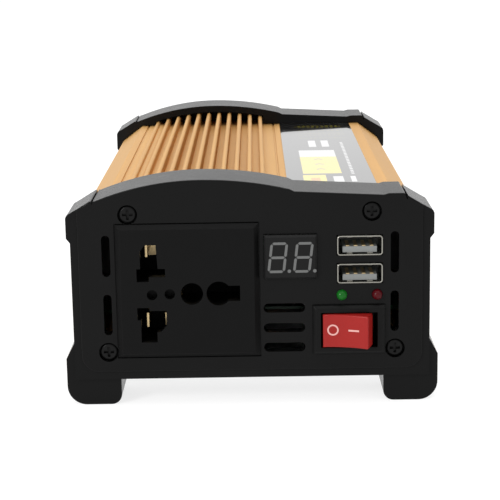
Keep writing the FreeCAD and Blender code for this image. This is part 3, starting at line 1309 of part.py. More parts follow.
def mosfets():
    thick, wide, tall = MOSFET_SIZE
    x1 = wall_inside() - HEAT_PAD_THICKNESS
    z0 = BOARD_TOP + MOSFET_LIFT
    solids = []
    for s, y in mosfet_places():
        case = side_box(s, x1 - thick, x1, y - wide / 2, y + wide / 2, z0, z0 + tall)
        x_leg = x1 - thick / 2
        legs = [side_box(s, x_leg - 0.3, x_leg + 0.3, y + k * MOSFET_LEG_PITCH - MOSFET_LEG_WIDTH / 2,
                         y + k * MOSFET_LEG_PITCH + MOSFET_LEG_WIDTH / 2, BOARD_TOP, z0) for k in (-1, 0, 1)]
        solids.append(fuse([case] + legs))
    return Part.makeCompound(solids)


def mosfet_span():
    ys = [y for _, y in mosfet_places()]
    return min(ys) - MOSFET_SIZE[1] / 2, max(ys) + MOSFET_SIZE[1] / 2


def heat_pads():
    """Insulating sheet between the transistors and each wall."""
    y0, y1 = mosfet_span()
    z0 = BOARD_TOP + MOSFET_LIFT
    z1 = z0 + MOSFET_SIZE[2]
    x1 = wall_inside()
    m = HEAT_PAD_MARGIN
    pads = [side_box(s, x1 - HEAT_PAD_THICKNESS, x1, y0 - m, y1 + m, z0 - m, z1 + m) for s in (-1, 1)]
    return Part.makeCompound(pads)


def mosfet_clamps():
    """Angle strip that presses each row of transistors to its wall."""
    y0, y1 = mosfet_span()
    x1 = wall_inside() - HEAT_PAD_THICKNESS - MOSFET_SIZE[0]
    z = BOARD_TOP + MOSFET_LIFT + MOSFET_SIZE[2] / 2
    solids = []
    for s in (-1, 1):
        strip = side_box(s, x1 - CLAMP_THICKNESS, x1, y0, y1, z - CLAMP_HEIGHT / 2, z + CLAMP_HEIGHT / 2)
        lip = side_box(s, x1 - CLAMP_BEND, x1 - CLAMP_THICKNESS, y0, y1, z - CLAMP_HEIGHT / 2,
                       z - CLAMP_HEIGHT / 2 + CLAMP_THICKNESS)
        solids.append(fuse([strip, lip]))
    return Part.makeCompound(solids)


def fuse_places():
    return [(FUSE_X, BOARD_BACK - FUSE_REAR - i * FUSE_PITCH) for i in range(FUSE_COUNT)]


def fuse_holders():
    w, d, _ = FUSE_SIZE
    top = BOARD_TOP + HOLDER_HEIGHT
    solids = []
    for x, y in fuse_places():
        base = pillar(x, y, w + 2 * HOLDER_MARGIN, d + 2 * HOLDER_MARGIN, BOARD_TOP, top)
        pocket = pillar(x, y, w + 2 * SCREW_FIT, d + 2 * SCREW_FIT, top - HOLDER_SINK, top + 1)
        solids.append(cut(base, [pocket]))
    return Part.makeCompound(solids)


def blade_fuses():
    w, d, h = FUSE_SIZE
    z0 = BOARD_TOP + HOLDER_HEIGHT - HOLDER_SINK
    return Part.makeCompound([pillar(x, y, w, d, z0, z0 + h) for x, y in fuse_places()])


def control_chips():
    w, d, h = CHIP_SIZE
    y = BOARD_FRONT + CHIP_FRONT + d / 2
    return Part.makeCompound([pillar(x, y, w, d, BOARD_TOP, BOARD_TOP + h) for x in CHIP_X])


def buzzer():
    x, y = BUZZER_CENTRE[0], BOARD_FRONT + BUZZER_CENTRE[1]
    can = rod_z(x, y, BUZZER_RADIUS, BOARD_TOP, BOARD_TOP + BUZZER_HEIGHT)
    top = BOARD_TOP + BUZZER_HEIGHT
    return cut(can, [rod_z(x, y, BUZZER_RADIUS / 5, top - BUZZER_HEIGHT / 2, top + 1)])


def ac_leads():
    """Live, neutral and earth leads from the socket's tails to the front of the main board."""
    y0 = Y_FRONT + SOCKET_BODY_DEPTH + CONTACT_TAIL
    leads = []
    for clip, (x_end, y_end) in zip(contact_clips(), AC_LEAD_ENDS):
        x, z = tail_place(clip)
        y_end += BOARD_FRONT
        high = max(z, BOARD_TOP + AC_LEAD_LIFT) + AC_LEAD_RISE
        points = [(x, y0, z), (x, y0 + AC_LEAD_RUN, z), (x_end, y_end, high), (x_end, y_end, BOARD_TOP)]
        leads.append(tube(points, AC_LEAD_RADIUS))
    return Part.makeCompound(leads)


def switch_leads():
    """Two thin leads from the switch tabs down to the main board."""
    y0 = Y_FRONT + SWITCH_BODY_DEPTH + TERMINAL_LENGTH
    z = SWITCH_CENTRE[1]
    leads = []
    for s in (-1, 1):
        x = SWITCH_CENTRE[0] + s * TERMINAL_SPACING / 2
        points = [(x, y0, z)] + [(x + s * out, y0 + run, z + up) for out, run, up in SWITCH_LEAD_STEPS]
        points.append(points[-1][:2] + (BOARD_TOP,))
        leads.append(tube(points, SWITCH_LEAD_RADIUS))
    return Part.makeCompound(leads)


def nodes():
    socket = contact_clips()
    table = {
        "front_cover": front_cover(),
        "rear_cover": rear_cover(),
        "front_cover_screws": cover_screws(True),
        "rear_cover_screws": cover_screws(False),
        "casing_extrusion": casing_extrusion(),
        "bottom_plate": bottom_plate(),
        "bottom_plate_screws": bottom_plate_screws(),
        "top_label": top_label(),
        "socket_housing": socket_housing(),
        "live_contact": contact(socket[0]),
        "neutral_contact": contact(socket[1]),
        "earth_contact": contact(socket[2]),
        "display_module": display_module(),
        "display_segments": display_segments(),
        "display_board": panel_board(),
        "usb_shells": usb_shells(),
        "usb_tongues": usb_tongues(),
        "usb_contacts": usb_contacts(),
        "usb_board": usb_board(),
        "green_led": led(GREEN_LED_X),
        "red_led": led(RED_LED_X),
        "switch_housing": switch_housing(),
        "switch_rocker": switch_rocker(),
        "switch_terminals": switch_terminals(),
        "fan_frame": fan_frame(),
        "fan_stator": fan_stator(),
        "fan_rotor": fan_rotor(),
        "fan_guard": fan_guard(),
        "fan_screws": fan_screws(),
        "fan_nuts": fan_nuts(),
        "main_board": main_board(),
        "board_standoffs": board_standoffs(),
        "board_screws": board_screws(),
        "transformer_core": transformer_core(),
        "transformer_winding": transformer_winding(),
        "choke_core": choke_core(),
        "choke_winding": choke_winding(),
        "bus_capacitor": bus_capacitor(),
        "input_capacitors": input_capacitors(),
        "mosfets": mosfets(),
        "heat_pads": heat_pads(),
        "mosfet_clamps": mosfet_clamps(),
        "fuse_holders": fuse_holders(),
        "blade_fuses": blade_fuses(),
        "control_chips": control_chips(),
        "buzzer": buzzer(),
        "ac_leads": ac_leads(),
        "switch_leads": switch_leads(),
        "post_studs": post_studs(),
        "post_lugs": Part.makeCompound([post_lug(x) for x in POST_X.values()]),
        "post_nuts": post_nuts(),
    }
    for name, x in POST_X.items():
        table[name + "_post_base"] = post_base(x)
        table[name + "_washer"] = post_washer(x)
        table[name + "_knob"] = post_knob(x)
        table[name + "_lead"] = dc_lead(x)
    return table


def main():
    os.makedirs("parts", exist_ok=True)
    for name, shape in nodes().items():
        solids = shape.Solids
        valid = shape.isValid() and all(s.Volume > 0 for s in solids)
        print(name, len(solids), "solids", round(shape.Volume), "mm3", "" if valid else "INVALID")
        whole = solids[0] if len(solids) == 1 else Part.makeCompound(solids)
        whole.exportStep(os.path.join("parts", name + ".step"))


main()
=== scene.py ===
import json
import math

import bmesh
import bpy
from mathutils import Matrix, Vector


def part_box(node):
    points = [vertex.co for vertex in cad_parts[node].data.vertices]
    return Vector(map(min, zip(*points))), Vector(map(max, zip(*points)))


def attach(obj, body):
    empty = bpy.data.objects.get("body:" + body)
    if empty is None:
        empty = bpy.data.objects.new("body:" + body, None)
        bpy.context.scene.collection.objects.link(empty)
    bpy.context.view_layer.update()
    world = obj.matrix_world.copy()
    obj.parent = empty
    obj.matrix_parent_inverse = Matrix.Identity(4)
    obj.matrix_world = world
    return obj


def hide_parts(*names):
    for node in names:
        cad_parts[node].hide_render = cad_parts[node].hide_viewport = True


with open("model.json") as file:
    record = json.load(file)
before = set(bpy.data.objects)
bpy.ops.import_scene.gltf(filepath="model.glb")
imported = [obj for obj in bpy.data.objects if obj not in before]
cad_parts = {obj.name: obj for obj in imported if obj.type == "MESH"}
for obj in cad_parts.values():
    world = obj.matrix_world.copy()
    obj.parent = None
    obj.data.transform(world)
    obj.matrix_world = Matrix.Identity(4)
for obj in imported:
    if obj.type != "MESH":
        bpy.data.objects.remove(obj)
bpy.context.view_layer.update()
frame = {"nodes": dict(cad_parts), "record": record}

# The looks of a power inverter: finishes for every part of the assembly, and the finely shaped
# pieces that stand for some of the plain ones. Metres; the front panel faces -Y and +Z is up.

MM = 0.001
Y_AXIS, Z_AXIS = 1, 2
RIGHT_ANGLE = math.radians(90)
FACING_Y = (RIGHT_ANGLE, 0, 0)
NODES = frame["nodes"]
SLOTS = {part["node"]: part["material_slot"] for part in frame["record"]["subparts"]}
BODY_OF = {node: body for body, nodes in frame["record"]["behaviour"]["bodies"].items() for node in nodes}


def corners(node):
    """Lowest and highest corners of a part, in metres."""
    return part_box(node)


def middle(node):
    low, high = corners(node)
    return (low + high) / 2


# ---------------------------------------------------------------- shader expressions

class Value:
    """A shader socket that can stand in an expression."""

    def __init__(self, finish, socket):
        self.finish = finish
        self.socket = socket

    def _maths(self, operation, a, b=None, clamp=False):
        inputs = {0: a} if b is None else {0: a, 1: b}
        return self.finish.node("ShaderNodeMath", {"operation": operation, "use_clamp": clamp}, inputs)

    def __add__(self, other):
        return self._maths("ADD", self, other)

    def __sub__(self, other):
        return self._maths("SUBTRACT", self, other)

    def __rsub__(self, other):
        return self._maths("SUBTRACT", other, self)

    def __mul__(self, other):
        return self._maths("MULTIPLY", self, other)

    def __truediv__(self, other):
        return self._maths("DIVIDE", self, other)

    def __rtruediv__(self, other):
        return self._maths("DIVIDE", other, self)

    def __abs__(self):
        return self._maths("ABSOLUTE", self)

    def __gt__(self, other):
        return self._maths("GREATER_THAN", self, other)

    def __lt__(self, other):
        return self._maths("LESS_THAN", self, other)

    def either(self, other):
        """The larger of two masks."""
        return self._maths("MAXIMUM", self, other)

    def wave(self, reach):
        """Up from 0 to the reach and back down, over and over."""
        return self._maths("PINGPONG", self, reach)

    def held(self):
        """Kept between 0 and 1."""
        return self._maths("ADD", self, 0.0, clamp=True)

    def ramp(self, start, end):
        """0 below start, 1 above end, and straight between."""
        return ((self - start) / (end - start)).held()

    __radd__ = __add__
    __rmul__ = __mul__


class Finish:
    """A material being made: a Principled shader and the patterns that feed it."""

    def __init__(self, name, **steady):
        self.name = name
        self.material = bpy.data.materials.new(name)
        self.material.use_nodes = True
        self.tree = self.material.node_tree
        self.shader = self.tree.nodes["Principled BSDF"]
        for socket, value in steady.items():
            self.shader.inputs[socket.replace("_", " ").title().replace("Ior", "IOR")].default_value = value
        self.place = self.node("ShaderNodeTexCoord", output="Object")
        self.x, self.y, self.z = (
            self.node("ShaderNodeSeparateXYZ", inputs={0: self.place}, output=axis) for axis in "XYZ")

    def node(self, kind, settings=None, inputs=None, output=0):
        """Adds a node, sets it up and feeds its sockets with values or links."""
        node = self.tree.nodes.new(kind)
        for key, value in (settings or {}).items():
            setattr(node, key, value)
        for key, value in (inputs or {}).items():
            if isinstance(value, Value):
                self.tree.links.new(value.socket, node.inputs[key])
            else:
                node.inputs[key].default_value = value
        return Value(self, node.outputs[output])

    def noise(self, scale, detail=3.0, rough=0.5, stretch=(1, 1, 1)):
        """Cloudy noise, in cycles per metre; stretch below 1 draws it out along that axis."""
        place = self.node("ShaderNodeVectorMath", {"operation": "MULTIPLY"}, {0: self.place, 1: stretch})
        return self.node("ShaderNodeTexNoise", inputs={
            "Vector": place, "Scale": scale, "Detail": detail, "Roughness": rough})

    def cells(self, scale):
        """Distance to the nearest of many scattered points, in cells; scale is in cells per metre."""
        return self.node("ShaderNodeTexVoronoi", {"feature": "F1"}, {"Vector": self.place, "Scale": scale},
                         "Distance")

    def mix(self, factor, a, b):
        """Colour a where factor is 0 and colour b where it is 1."""
        node = self.tree.nodes.new("ShaderNodeMix")
        node.data_type = "RGBA"
        wanted = {"Factor_Float": factor, "A_Color": a, "B_Color": b}
        for socket in node.inputs:
            value = wanted.get(socket.identifier)
            if isinstance(value, Value):
                self.tree.links.new(value.socket, socket)
            elif value is not None:
                socket.default_value = rgba(value)
        return Value(self, [s for s in node.outputs if s.identifier == "Result_Color"][0])

    def bump(self, height, distance, strength=1.0):
        """Relief from a height of 0 to 1; distance is its depth in metres. Calls stack."""
        inputs = {"Height": height, "Distance": distance, "Strength": strength}
        normal = self.shader.inputs["Normal"]
        if normal.is_linked:
            inputs["Normal"] = Value(self, normal.links[0].from_socket)
        self.feed("Normal", self.node("ShaderNodeBump", inputs=inputs))

    def feed(self, socket, value):
        self.tree.links.new(value.socket, self.shader.inputs[socket])


def within(value, low, high):
    """1 where a value lies between low and high."""
    return (value > low) * (value < high)


def rgba(colour):
    return tuple(colour) + (1.0,)


def grey(value):
    return (value, value, value)


def shaded(colour, share):
    """The same hue, darker."""
    return tuple(part * share for part in colour)


# ---------------------------------------------------------------- finishes

def cover_plastic():
    """Matt black ABS with a fine spark-eroded texture, a little polished where hands rub it."""
    smoothest, patchy, polished = 0.2, 0.07, 0.05
    f = Finish("cover_plastic", specular_ior_level=0.1)
    cloud = f.noise(scale=35, detail=4)
    rub = f.noise(scale=180, detail=5, rough=0.65, stretch=(1, 1, 0.35)).ramp(start=0.58, end=0.76)
    f.feed("Base Color", f.mix(cloud, grey(0.003), grey(0.0045)))
    f.feed("Roughness", smoothest + cloud * patchy - rub * polished)
    f.bump(f.noise(scale=2600, detail=2, rough=0.6), distance=0.04 * MM, strength=0.7)
    f.bump(f.noise(scale=420), distance=0.02 * MM, strength=0.5)
    return f


def gold_anodised():
    """Orange gold anodising over drawn aluminium: long die lines and fine satin grain."""
    deep, warm, bright = (0.55, 0.295, 0.083), (0.635, 0.352, 0.115), (0.74, 0.46, 0.18)
    line_share, smoothest, lined, grainy = 0.6, 0.38, 0.16, 0.08
    f = Finish("gold_anodised", metallic=0.82)
    drawn = f.noise(scale=900, rough=0.6, stretch=(1, 0.012, 1))
    broad = f.noise(scale=60, stretch=(1, 0.15, 1))
    speck = f.noise(scale=3800, detail=1)
    f.feed("Base Color", f.mix(drawn * line_share, f.mix(broad, deep, warm), bright))
    f.feed("Roughness", smoothest + drawn * lined + speck * grainy)
    f.bump(drawn, distance=0.03 * MM, strength=0.6)
    f.bump(speck, distance=0.008 * MM, strength=0.4)
    return f


WHITE_INK = (0.8, 0.8, 0.8)
YELLOW_INK = (0.9, 0.74, 0.05)
ORANGE_INK = (0.75, 0.36, 0.02)
OLIVE_INK = (0.16, 0.14, 0.02)
CHEVRON_INK = (0.35, 0.33, 0.2)

# Printed areas of the label, millimetres: left, right, front, back and ink.
LABEL_PRINT = (
    (17.0, 29.3, -17.5, -3.0, WHITE_INK),
    (17.0, 29.3, -51.5, -17.5, YELLOW_INK),
    (16.8, 24.0, -69.0, -54.0, YELLOW_INK),
    (19.2, 22.0, -69.0, -59.5, ORANGE_INK),
    (21.0, 23.6, 5.0, 20.0, WHITE_INK),
    (25.6, 28.2, 5.0, 20.0, WHITE_INK),
    (26.2, 29.3, -67.0, -57.0, WHITE_INK),
    (31.6, 33.2, -67.0, -57.0, WHITE_INK),
)

# Three bent bars on the yellow block, millimetres.
CHEVRON_X = 23.0
CHEVRON_Y = (-22.0, -32.0, -42.0)
CHEVRON_HALF_WIDTH = 1.4
CHEVRON_HALF_STROKE = 0.9
CHEVRON_SLOPE = 1.2
CHEVRON_STRENGTH = 0.8

# A column of ticks, and pale rows near the back, millimetres.
TICK_X = 32.8
TICK_HALF_WIDTH = 0.5
TICK_PITCH = 1.6
TICK_GAP = 0.7
TICK_SPAN = (-53.0, 15.0)
ROW_SPAN = (17.5, 35.0)
DASH_PITCH = 0.9
DASH_GAP = 0.35
BLOCK_SPAN = (54.0, 60.0)
LINE_PITCH = 6.0
LINE_BAND = (1.5, 3.0)
LINES_SPAN = (24.0, 48.0)


def label_film():
    """Glossy black film with plain printed blocks: no words, only the colours of the layout."""
    smoothest, patchy = 0.07, 0.05
    f = Finish("label_film", coat_weight=1.0, coat_roughness=0.03)
    cloud = f.noise(scale=40)
    ink = f.mix(cloud, grey(0.006), grey(0.012))
    x_mm = f.x / MM
    y_mm = f.y / MM
    for left, right, front, back, colour in LABEL_PRINT:
        ink = f.mix(within(x_mm, left, right) * within(y_mm, front, back), ink, colour)
    for place in CHEVRON_Y:
        bent = y_mm + abs(x_mm - CHEVRON_X) * CHEVRON_SLOPE
        bar = within(bent, place - CHEVRON_HALF_STROKE, place + CHEVRON_HALF_STROKE)
        bar = bar * within(x_mm, CHEVRON_X - CHEVRON_HALF_WIDTH, CHEVRON_X + CHEVRON_HALF_WIDTH)
        ink = f.mix(bar * CHEVRON_STRENGTH, ink, CHEVRON_INK)
    column = within(x_mm, TICK_X - TICK_HALF_WIDTH, TICK_X + TICK_HALF_WIDTH) * within(y_mm, *TICK_SPAN)
    ink = f.mix((y_mm.wave(TICK_PITCH) > TICK_GAP) * column, ink, WHITE_INK)
    dashes = (x_mm.wave(DASH_PITCH) > DASH_GAP) * within(x_mm, *ROW_SPAN)
    ink = f.mix(dashes * within(y_mm, *BLOCK_SPAN), ink, OLIVE_INK)
    lines = within(y_mm.wave(LINE_PITCH), *LINE_BAND) * within(y_mm, *LINES_SPAN)
    ink = f.mix(dashes * lines, ink, OLIVE_INK)
    f.feed("Base Color", ink)
    f.feed("Roughness", smoothest + cloud * patchy)
    f.bump(f.noise(scale=30), distance=0.2 * MM, strength=0.25)
    f.bump(f.noise(scale=700, detail=2), distance=0.006 * MM, strength=0.4)
    return f


def plain_metal(name, colour, rough=0.35, grain=1500, stretch=(1, 1, 1)):
    """A metal with fine grain and a slow change of tone."""
    darkest, smoother, grainy, patchy = 0.78, 0.08, 0.18, 0.06
    f = Finish(name, metallic=1.0)
    cloud = f.noise(scale=120, detail=4)
    fine = f.noise(grain, rough=0.6, stretch=stretch)
    f.feed("Base Color", f.mix(cloud, shaded(colour, darkest), colour))
    f.feed("Roughness", rough - smoother + fine * grainy + cloud * patchy)
    f.bump(fine, distance=0.01 * MM, strength=0.6)
    return f


def plain_plastic(name, colour, rough=0.45, grain=2600, depth=0.02 * MM, **steady):
    """A moulded plastic with its fine texture and faint handling marks."""
    darkest, patchy, handled = 0.82, 0.1, 0.1
    f = Finish(name, **steady)
    cloud = f.noise(scale=90, detail=4)
    fine = f.noise(grain, detail=2, rough=0.6)
    traces = f.noise(scale=500, detail=4, rough=0.7, stretch=(1, 0.3, 0.4)).ramp(start=0.62, end=0.8)
    f.feed("Base Color", f.mix(cloud, shaded(colour, darkest), colour))
    f.feed("Roughness", rough + cloud * patchy - traces * handled)
    f.bump(fine, depth, strength=0.6)
    return f


def lamp_lens(name, colour, glow):
    """A small tinted lens, glossy, with a faint and slightly cloudy glow inside its dome."""
    darkest, smoothest, patchy = 0.6, 0.06, 0.06
    f = Finish(name, specular_ior_level=0.16, emission_strength=1.0)
    cloud = f.noise(scale=900, detail=2)
    f.feed("Base Color", f.mix(cloud, shaded(colour, darkest), colour))
    f.feed("Roughness", smoothest + cloud * patchy)
    f.feed("Emission Color", f.mix(cloud, shaded(glow, darkest), glow))
    f.bump(f.noise(scale=1500, detail=2), distance=0.01 * MM, strength=0.3)
    return f


TRACK_WARP = 4 * MM
TRACK_PITCH = (2.1 * MM, 2.6 * MM)
TRACK_GAP = (1.4 * MM, 1.8 * MM)
PAD_RADIUS = 0.16


def board_green():
    """Solder mask over copper: long tracks, scattered pads and pale flecks of legend."""
    smoothest, patchy, tinned, track_share = 0.3, 0.1, 0.08, 0.7
    routed, routed_across, printed, printed_patch = 0.5, 0.53, 0.68, 0.6
    f = Finish("board_green", coat_weight=0.3, coat_roughness=0.2)
    cloud = f.noise(scale=120)
    warp = f.noise(scale=45, detail=2) * TRACK_WARP
    lengthwise = f.noise(scale=70, detail=1, stretch=(1, 0.2, 1)) > routed
    crosswise = f.noise(scale=70, detail=1, stretch=(0.2, 1, 1)) > routed_across
    tracks = ((f.x + warp).wave(TRACK_PITCH[0]) > TRACK_GAP[0]) * lengthwise
    tracks = tracks.either(((f.y + warp).wave(TRACK_PITCH[1]) > TRACK_GAP[1]) * crosswise)
    pads = f.cells(scale=320) < PAD_RADIUS
    legend = (f.noise(scale=420, detail=0) > printed) * (f.noise(scale=110, detail=0) > printed_patch)
    tone = f.mix(cloud, (0.006, 0.07, 0.022), (0.01, 0.1, 0.035))
    tone = f.mix(tracks * track_share, tone, (0.03, 0.2, 0.06))
    tone = f.mix(pads, tone, (0.55, 0.55, 0.52))
    f.feed("Base Color", f.mix(legend, tone, grey(0.6)))
    f.feed("Roughness", smoothest + cloud * patchy - pads * tinned)
    f.bump(tracks.either(pads), distance=0.03 * MM, strength=0.5)
    return f


def wound_wire(name, colour, pitch, rough=0.25, metallic=1.0):
    """Enamelled turns or wrapped tape: fine ridges one above the other, with painted shade darkening each
    groove between turns.
    """
    darkest, patchy, uneven, ridge_depth = 0.55, 0.12, 0.3, 0.4
    f = Finish(name, metallic=metallic)
    cloud = f.noise(scale=200)
    ridge_and_groove_shade = (f.z + cloud * (pitch * uneven)).wave(pitch) / pitch
    # Painted shade: the colour darkens towards the bottom of each groove between turns, down to the darkest
    # share.
    f.feed("Base Color", f.mix(ridge_and_groove_shade, shaded(colour, darkest), colour))
    f.feed("Roughness", rough + cloud * patchy)
    f.bump(ridge_and_groove_shade, pitch * ridge_depth, strength=0.7)
    return f


STRIPE_PITCH = (11 * MM, 9 * MM)
STRIPE_GAP = (6 * MM, 7.2 * MM)


def capacitor_sleeve():
    """Shrink sleeve: near-black blue with pale patches where its stripe comes round."""
    smoothest, patchy, stripe_share = 0.26, 0.1, 0.8
    f = Finish("capacitor_sleeve", coat_weight=0.2, coat_roughness=0.15)
    cloud = f.noise(scale=90)
    stripe = (f.y.wave(STRIPE_PITCH[1]) > STRIPE_GAP[1]) * (f.x.wave(STRIPE_PITCH[0]) > STRIPE_GAP[0])
    tone = f.mix(cloud, (0.006, 0.008, 0.02), (0.012, 0.016, 0.036))
    f.feed("Base Color", f.mix(stripe * stripe_share, tone, grey(0.4)))
    f.feed("Roughness", smoothest + cloud * patchy)
    f.bump(f.noise(scale=260), distance=0.03 * MM, strength=0.5)
    return f


PLASTICS = {
    "black_screw": dict(colour=grey(0.004), rough=0.26, grain=1800, specular_ior_level=0.13),
    "socket_plastic": dict(colour=grey(0.0038), rough=0.34, specular_ior_level=0.08),
    "display_plastic": dict(colour=grey(0.0085), rough=0.22, specular_ior_level=0.1),
    "segment_plastic": dict(colour=(0.118, 0.12, 0.118), rough=0.35, specular_ior_level=0.3),
    "tongue_plastic": dict(colour=(0.2, 0.208, 0.203), rough=0.4),
    "switch_plastic": dict(colour=grey(0.0042), rough=0.34, specular_ior_level=0.1),
    "rocker_red": dict(colour=(0.3, 0.0125, 0.0105), rough=0.28, specular_ior_level=0.2),
    "mark_ink": dict(colour=(0.7, 0.36, 0.33), rough=0.4),
    "fan_plastic": dict(colour=grey(0.012), rough=0.45, specular_ior_level=0.3),
    "ferrite": dict(colour=grey(0.045), rough=0.6, grain=3000, depth=0.06 * MM),
    "chip_epoxy": dict(colour=grey(0.02), rough=0.5),
    "pad_grey": dict(colour=(0.25, 0.27, 0.3), rough=0.6),
    "fuse_orange": dict(colour=(0.75, 0.24, 0.02), rough=0.2),
    "post_red": dict(colour=(0.42, 0.014, 0.012), rough=0.33, specular_ior_level=0.35),
    "post_black": dict(colour=grey(0.0085), rough=0.38, specular_ior_level=0.25),
    "lead_red": dict(colour=(0.5, 0.02, 0.015), rough=0.4),
    "lead_black": dict(colour=grey(0.015), rough=0.42),
}

METALS = {
    "plain_aluminium": dict(colour=(0.62, 0.62, 0.63), rough=0.38, grain=900, stretch=(0.02, 1, 1)),
    "zinc_screw": dict(colour=(0.6, 0.61, 0.62), rough=0.3, grain=1800),
    "contact_brass": dict(colour=(0.72, 0.55, 0.3), rough=0.28, grain=2400),
    "port_nickel": dict(colour=(0.33, 0.32, 0.285), rough=0.2, grain=1200),
    "guard_steel": dict(colour=(0.55, 0.55, 0.56), rough=0.25, grain=1500),
}

LENSES = {
    "green_lens": dict(colour=(0.005, 0.1, 0.009), glow=(0.002, 0.03, 0.003)),
    "red_lens": dict(colour=(0.065, 0.002, 0.004), glow=(0.01, 0.0003, 0.0006)),
}

WINDINGS = {
    "coil_tape": dict(colour=(0.62, 0.42, 0.06), pitch=1.2 * MM, rough=0.3, metallic=0.0),
    "copper_wire": dict(colour=(0.75, 0.33, 0.13), pitch=0.6 * MM),
}


def make_finishes():
    made = [cover_plastic(), gold_anodised(), label_film(), board_green(), capacitor_sleeve()]
    made += [plain_plastic(name, **mix) for name, mix in PLASTICS.items()]
    made += [plain_metal(name, **mix) for name, mix in METALS.items()]
    made += [lamp_lens(name, **mix) for name, mix in LENSES.items()]
    made += [wound_wire(name, **mix) for name, mix in WINDINGS.items()]
    return {finish.name: finish.material for finish in made}


FINISHES = make_finishes()


def dress(piece, finish):
    piece.data.materials.clear()
    piece.data.materials.append(FINISHES[finish])


def dress_nodes():
    for name, node in NODES.items():
        dress(node, SLOTS[name])


# ---------------------------------------------------------------- the bench

MERGE_REACH = 0.001 * MM
FLAT_DEGREES = 0.4
SMOOTH_DEGREES = 40
SHARP_DEGREES = 30
NEARLY_ONE = 0.99
FLAT_WEIGHT = 100


def put_down():
    """Back to object mode with nothing selected."""
    if bpy.context.object and bpy.context.object.mode != "OBJECT":
        bpy.ops.object.mode_set(mode="OBJECT")
    bpy.ops.object.select_all(action="DESELECT")


def hold(piece):
    """The piece alone, selected in object mode."""
    put_down()
    bpy.context.view_layer.objects.active = piece
    piece.select_set(True)


def take_up(piece):
    """The piece alone, in edit mode."""
    hold(piece)
    bpy.ops.object.mode_set(mode="EDIT")


def pick(kind, test):
    """In edit mode, selects the faces, edges or points that pass the test."""
    bpy.ops.mesh.select_mode(type=kind)
    bpy.ops.mesh.select_all(action="DESELECT")
    mesh = bmesh.from_edit_mesh(bpy.context.object.data)
    parts = {"VERT": mesh.verts, "EDGE": mesh.edges, "FACE": mesh.faces}[kind]
    for part in parts:
        if test(part):
            part.select_set(True)
    mesh.select_flush_mode()
    bmesh.update_edit_mesh(bpy.context.object.data)


def runs_along(edge, axis):
    a, b = edge.verts
    way = (b.co - a.co).normalized()
    return abs(way[axis]) > NEARLY_ONE


def sharp(edge, degrees=SHARP_DEGREES):
    return len(edge.link_faces) == 2 and edge.calc_face_angle(0) > math.radians(degrees)


def block(name, low, high):
    """A box between two corners, in metres, left in edit mode."""
    put_down()
    low, high = Vector(low), Vector(high)
    bpy.ops.mesh.primitive_cube_add(size=1, location=(0, 0, 0))
    piece = bpy.context.object
    piece.name = name
    take_up(piece)
    bpy.ops.transform.resize(value=high - low)
    bpy.ops.transform.translate(value=(low + high) / 2)
    return piece


def apply(piece, modifier):
    hold(piece)
    bpy.ops.object.modifier_apply(modifier=modifier.name)


def settle(piece):
    """Puts a piece's turn and place into its mesh."""
    hold(piece)
    bpy.ops.object.transform_apply(location=True, rotation=True, scale=True)


def smooth(piece, degrees=SMOOTH_DEGREES):
    """Rounded edges flow into flats that stay flat: the larger a face, the more its normal counts."""
    hold(piece)
    bpy.ops.object.shade_smooth_by_angle(angle=math.radians(degrees))
    even = piece.modifiers.new("even_shading", "WEIGHTED_NORMAL")
    even.weight = FLAT_WEIGHT
    even.keep_sharp = True
    apply(piece, even)


def face_outwards(piece):
    take_up(piece)
    bpy.ops.mesh.select_all(action="SELECT")
    bpy.ops.mesh.normals_make_consistent(inside=False)
    put_down()


def join(pieces, name):
    put_down()
    for piece in pieces:
        piece.select_set(True)
    bpy.context.view_layer.objects.active = pieces[0]
    bpy.ops.object.join()
    joined = bpy.context.object
    joined.name = name
    return joined


def another(piece, way):
    """A copy of a piece with its own mesh, moved along."""
    twin = bpy.data.objects.new(piece.name + "_twin", piece.data.copy())
    bpy.context.scene.collection.objects.link(twin)
    take_up(twin)
    bpy.ops.mesh.select_all(action="SELECT")
    bpy.ops.transform.translate(value=way)
    put_down()
    return twin


def fit(piece, finish, body, *nodes, slot=None):
    """Dresses a finished piece, lets it ride and hides the parts it stands for."""
    piece.data.name = piece.name
    dress(piece, finish)
    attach(piece, body)
    if nodes:
        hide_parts(*nodes)


def copied(node, name):
    """A merged copy of a part's mesh in edit mode, ready to be worked."""
    piece = bpy.data.objects.new(name, NODES[node].data.copy())
    bpy.context.scene.collection.objects.link(piece)
    take_up(piece)
    bpy.ops.mesh.select_all(action="SELECT")
    bpy.ops.mesh.remove_doubles(threshold=MERGE_REACH)
    bpy.ops.mesh.dissolve_limited(angle_limit=math.radians(FLAT_DEGREES))
    return piece


# ---------------------------------------------------------------- eased mouldings

# Parts whose sharp edges are eased, the piece that stands for each, and the width of the easing.
EASED = {
    "front_cover": ("front_cover_moulding", 0.22 * MM),
    "rear_cover": ("rear_cover_moulding", 0.22 * MM),
    "casing_extrusion": ("finned_casing", 0.12 * MM),
    "socket_housing": ("outlet_moulding", 0.18 * MM),
    "display_module": ("display_window", 0.25 * MM),
    "switch_housing": ("switch_bezel", 0.25 * MM),
    "fan_frame": ("fan_housing", 0.2 * MM),
    "positive_knob": ("positive_knob_grip", 0.3 * MM),
    "negative_knob": ("negative_knob_grip", 0.3 * MM),
    "positive_post_base": ("positive_post_collar", 0.3 * MM),
    "negative_post_base": ("negative_post_collar", 0.3 * MM),
}
EASED_SEGMENTS = 2
EASED_DEGREES = 34


def ease_mouldings():
    """Each part's sharp edges, as a mould or a deburring tool leaves them."""
    for node, (name, width) in EASED.items():
        piece = copied(node, name)
        bevel = piece.modifiers.new("eased_edges", "BEVEL")
        bevel.width = width
        bevel.segments = EASED_SEGMENTS
        bevel.limit_method = "ANGLE"
        bevel.angle_limit = math.radians(EASED_DEGREES)
        bevel.use_clamp_overlap = True
        apply(piece, bevel)
        smooth(piece)
        fit(piece, SLOTS[node], BODY_OF[node], node)


# ---------------------------------------------------------------- rocker and its marks

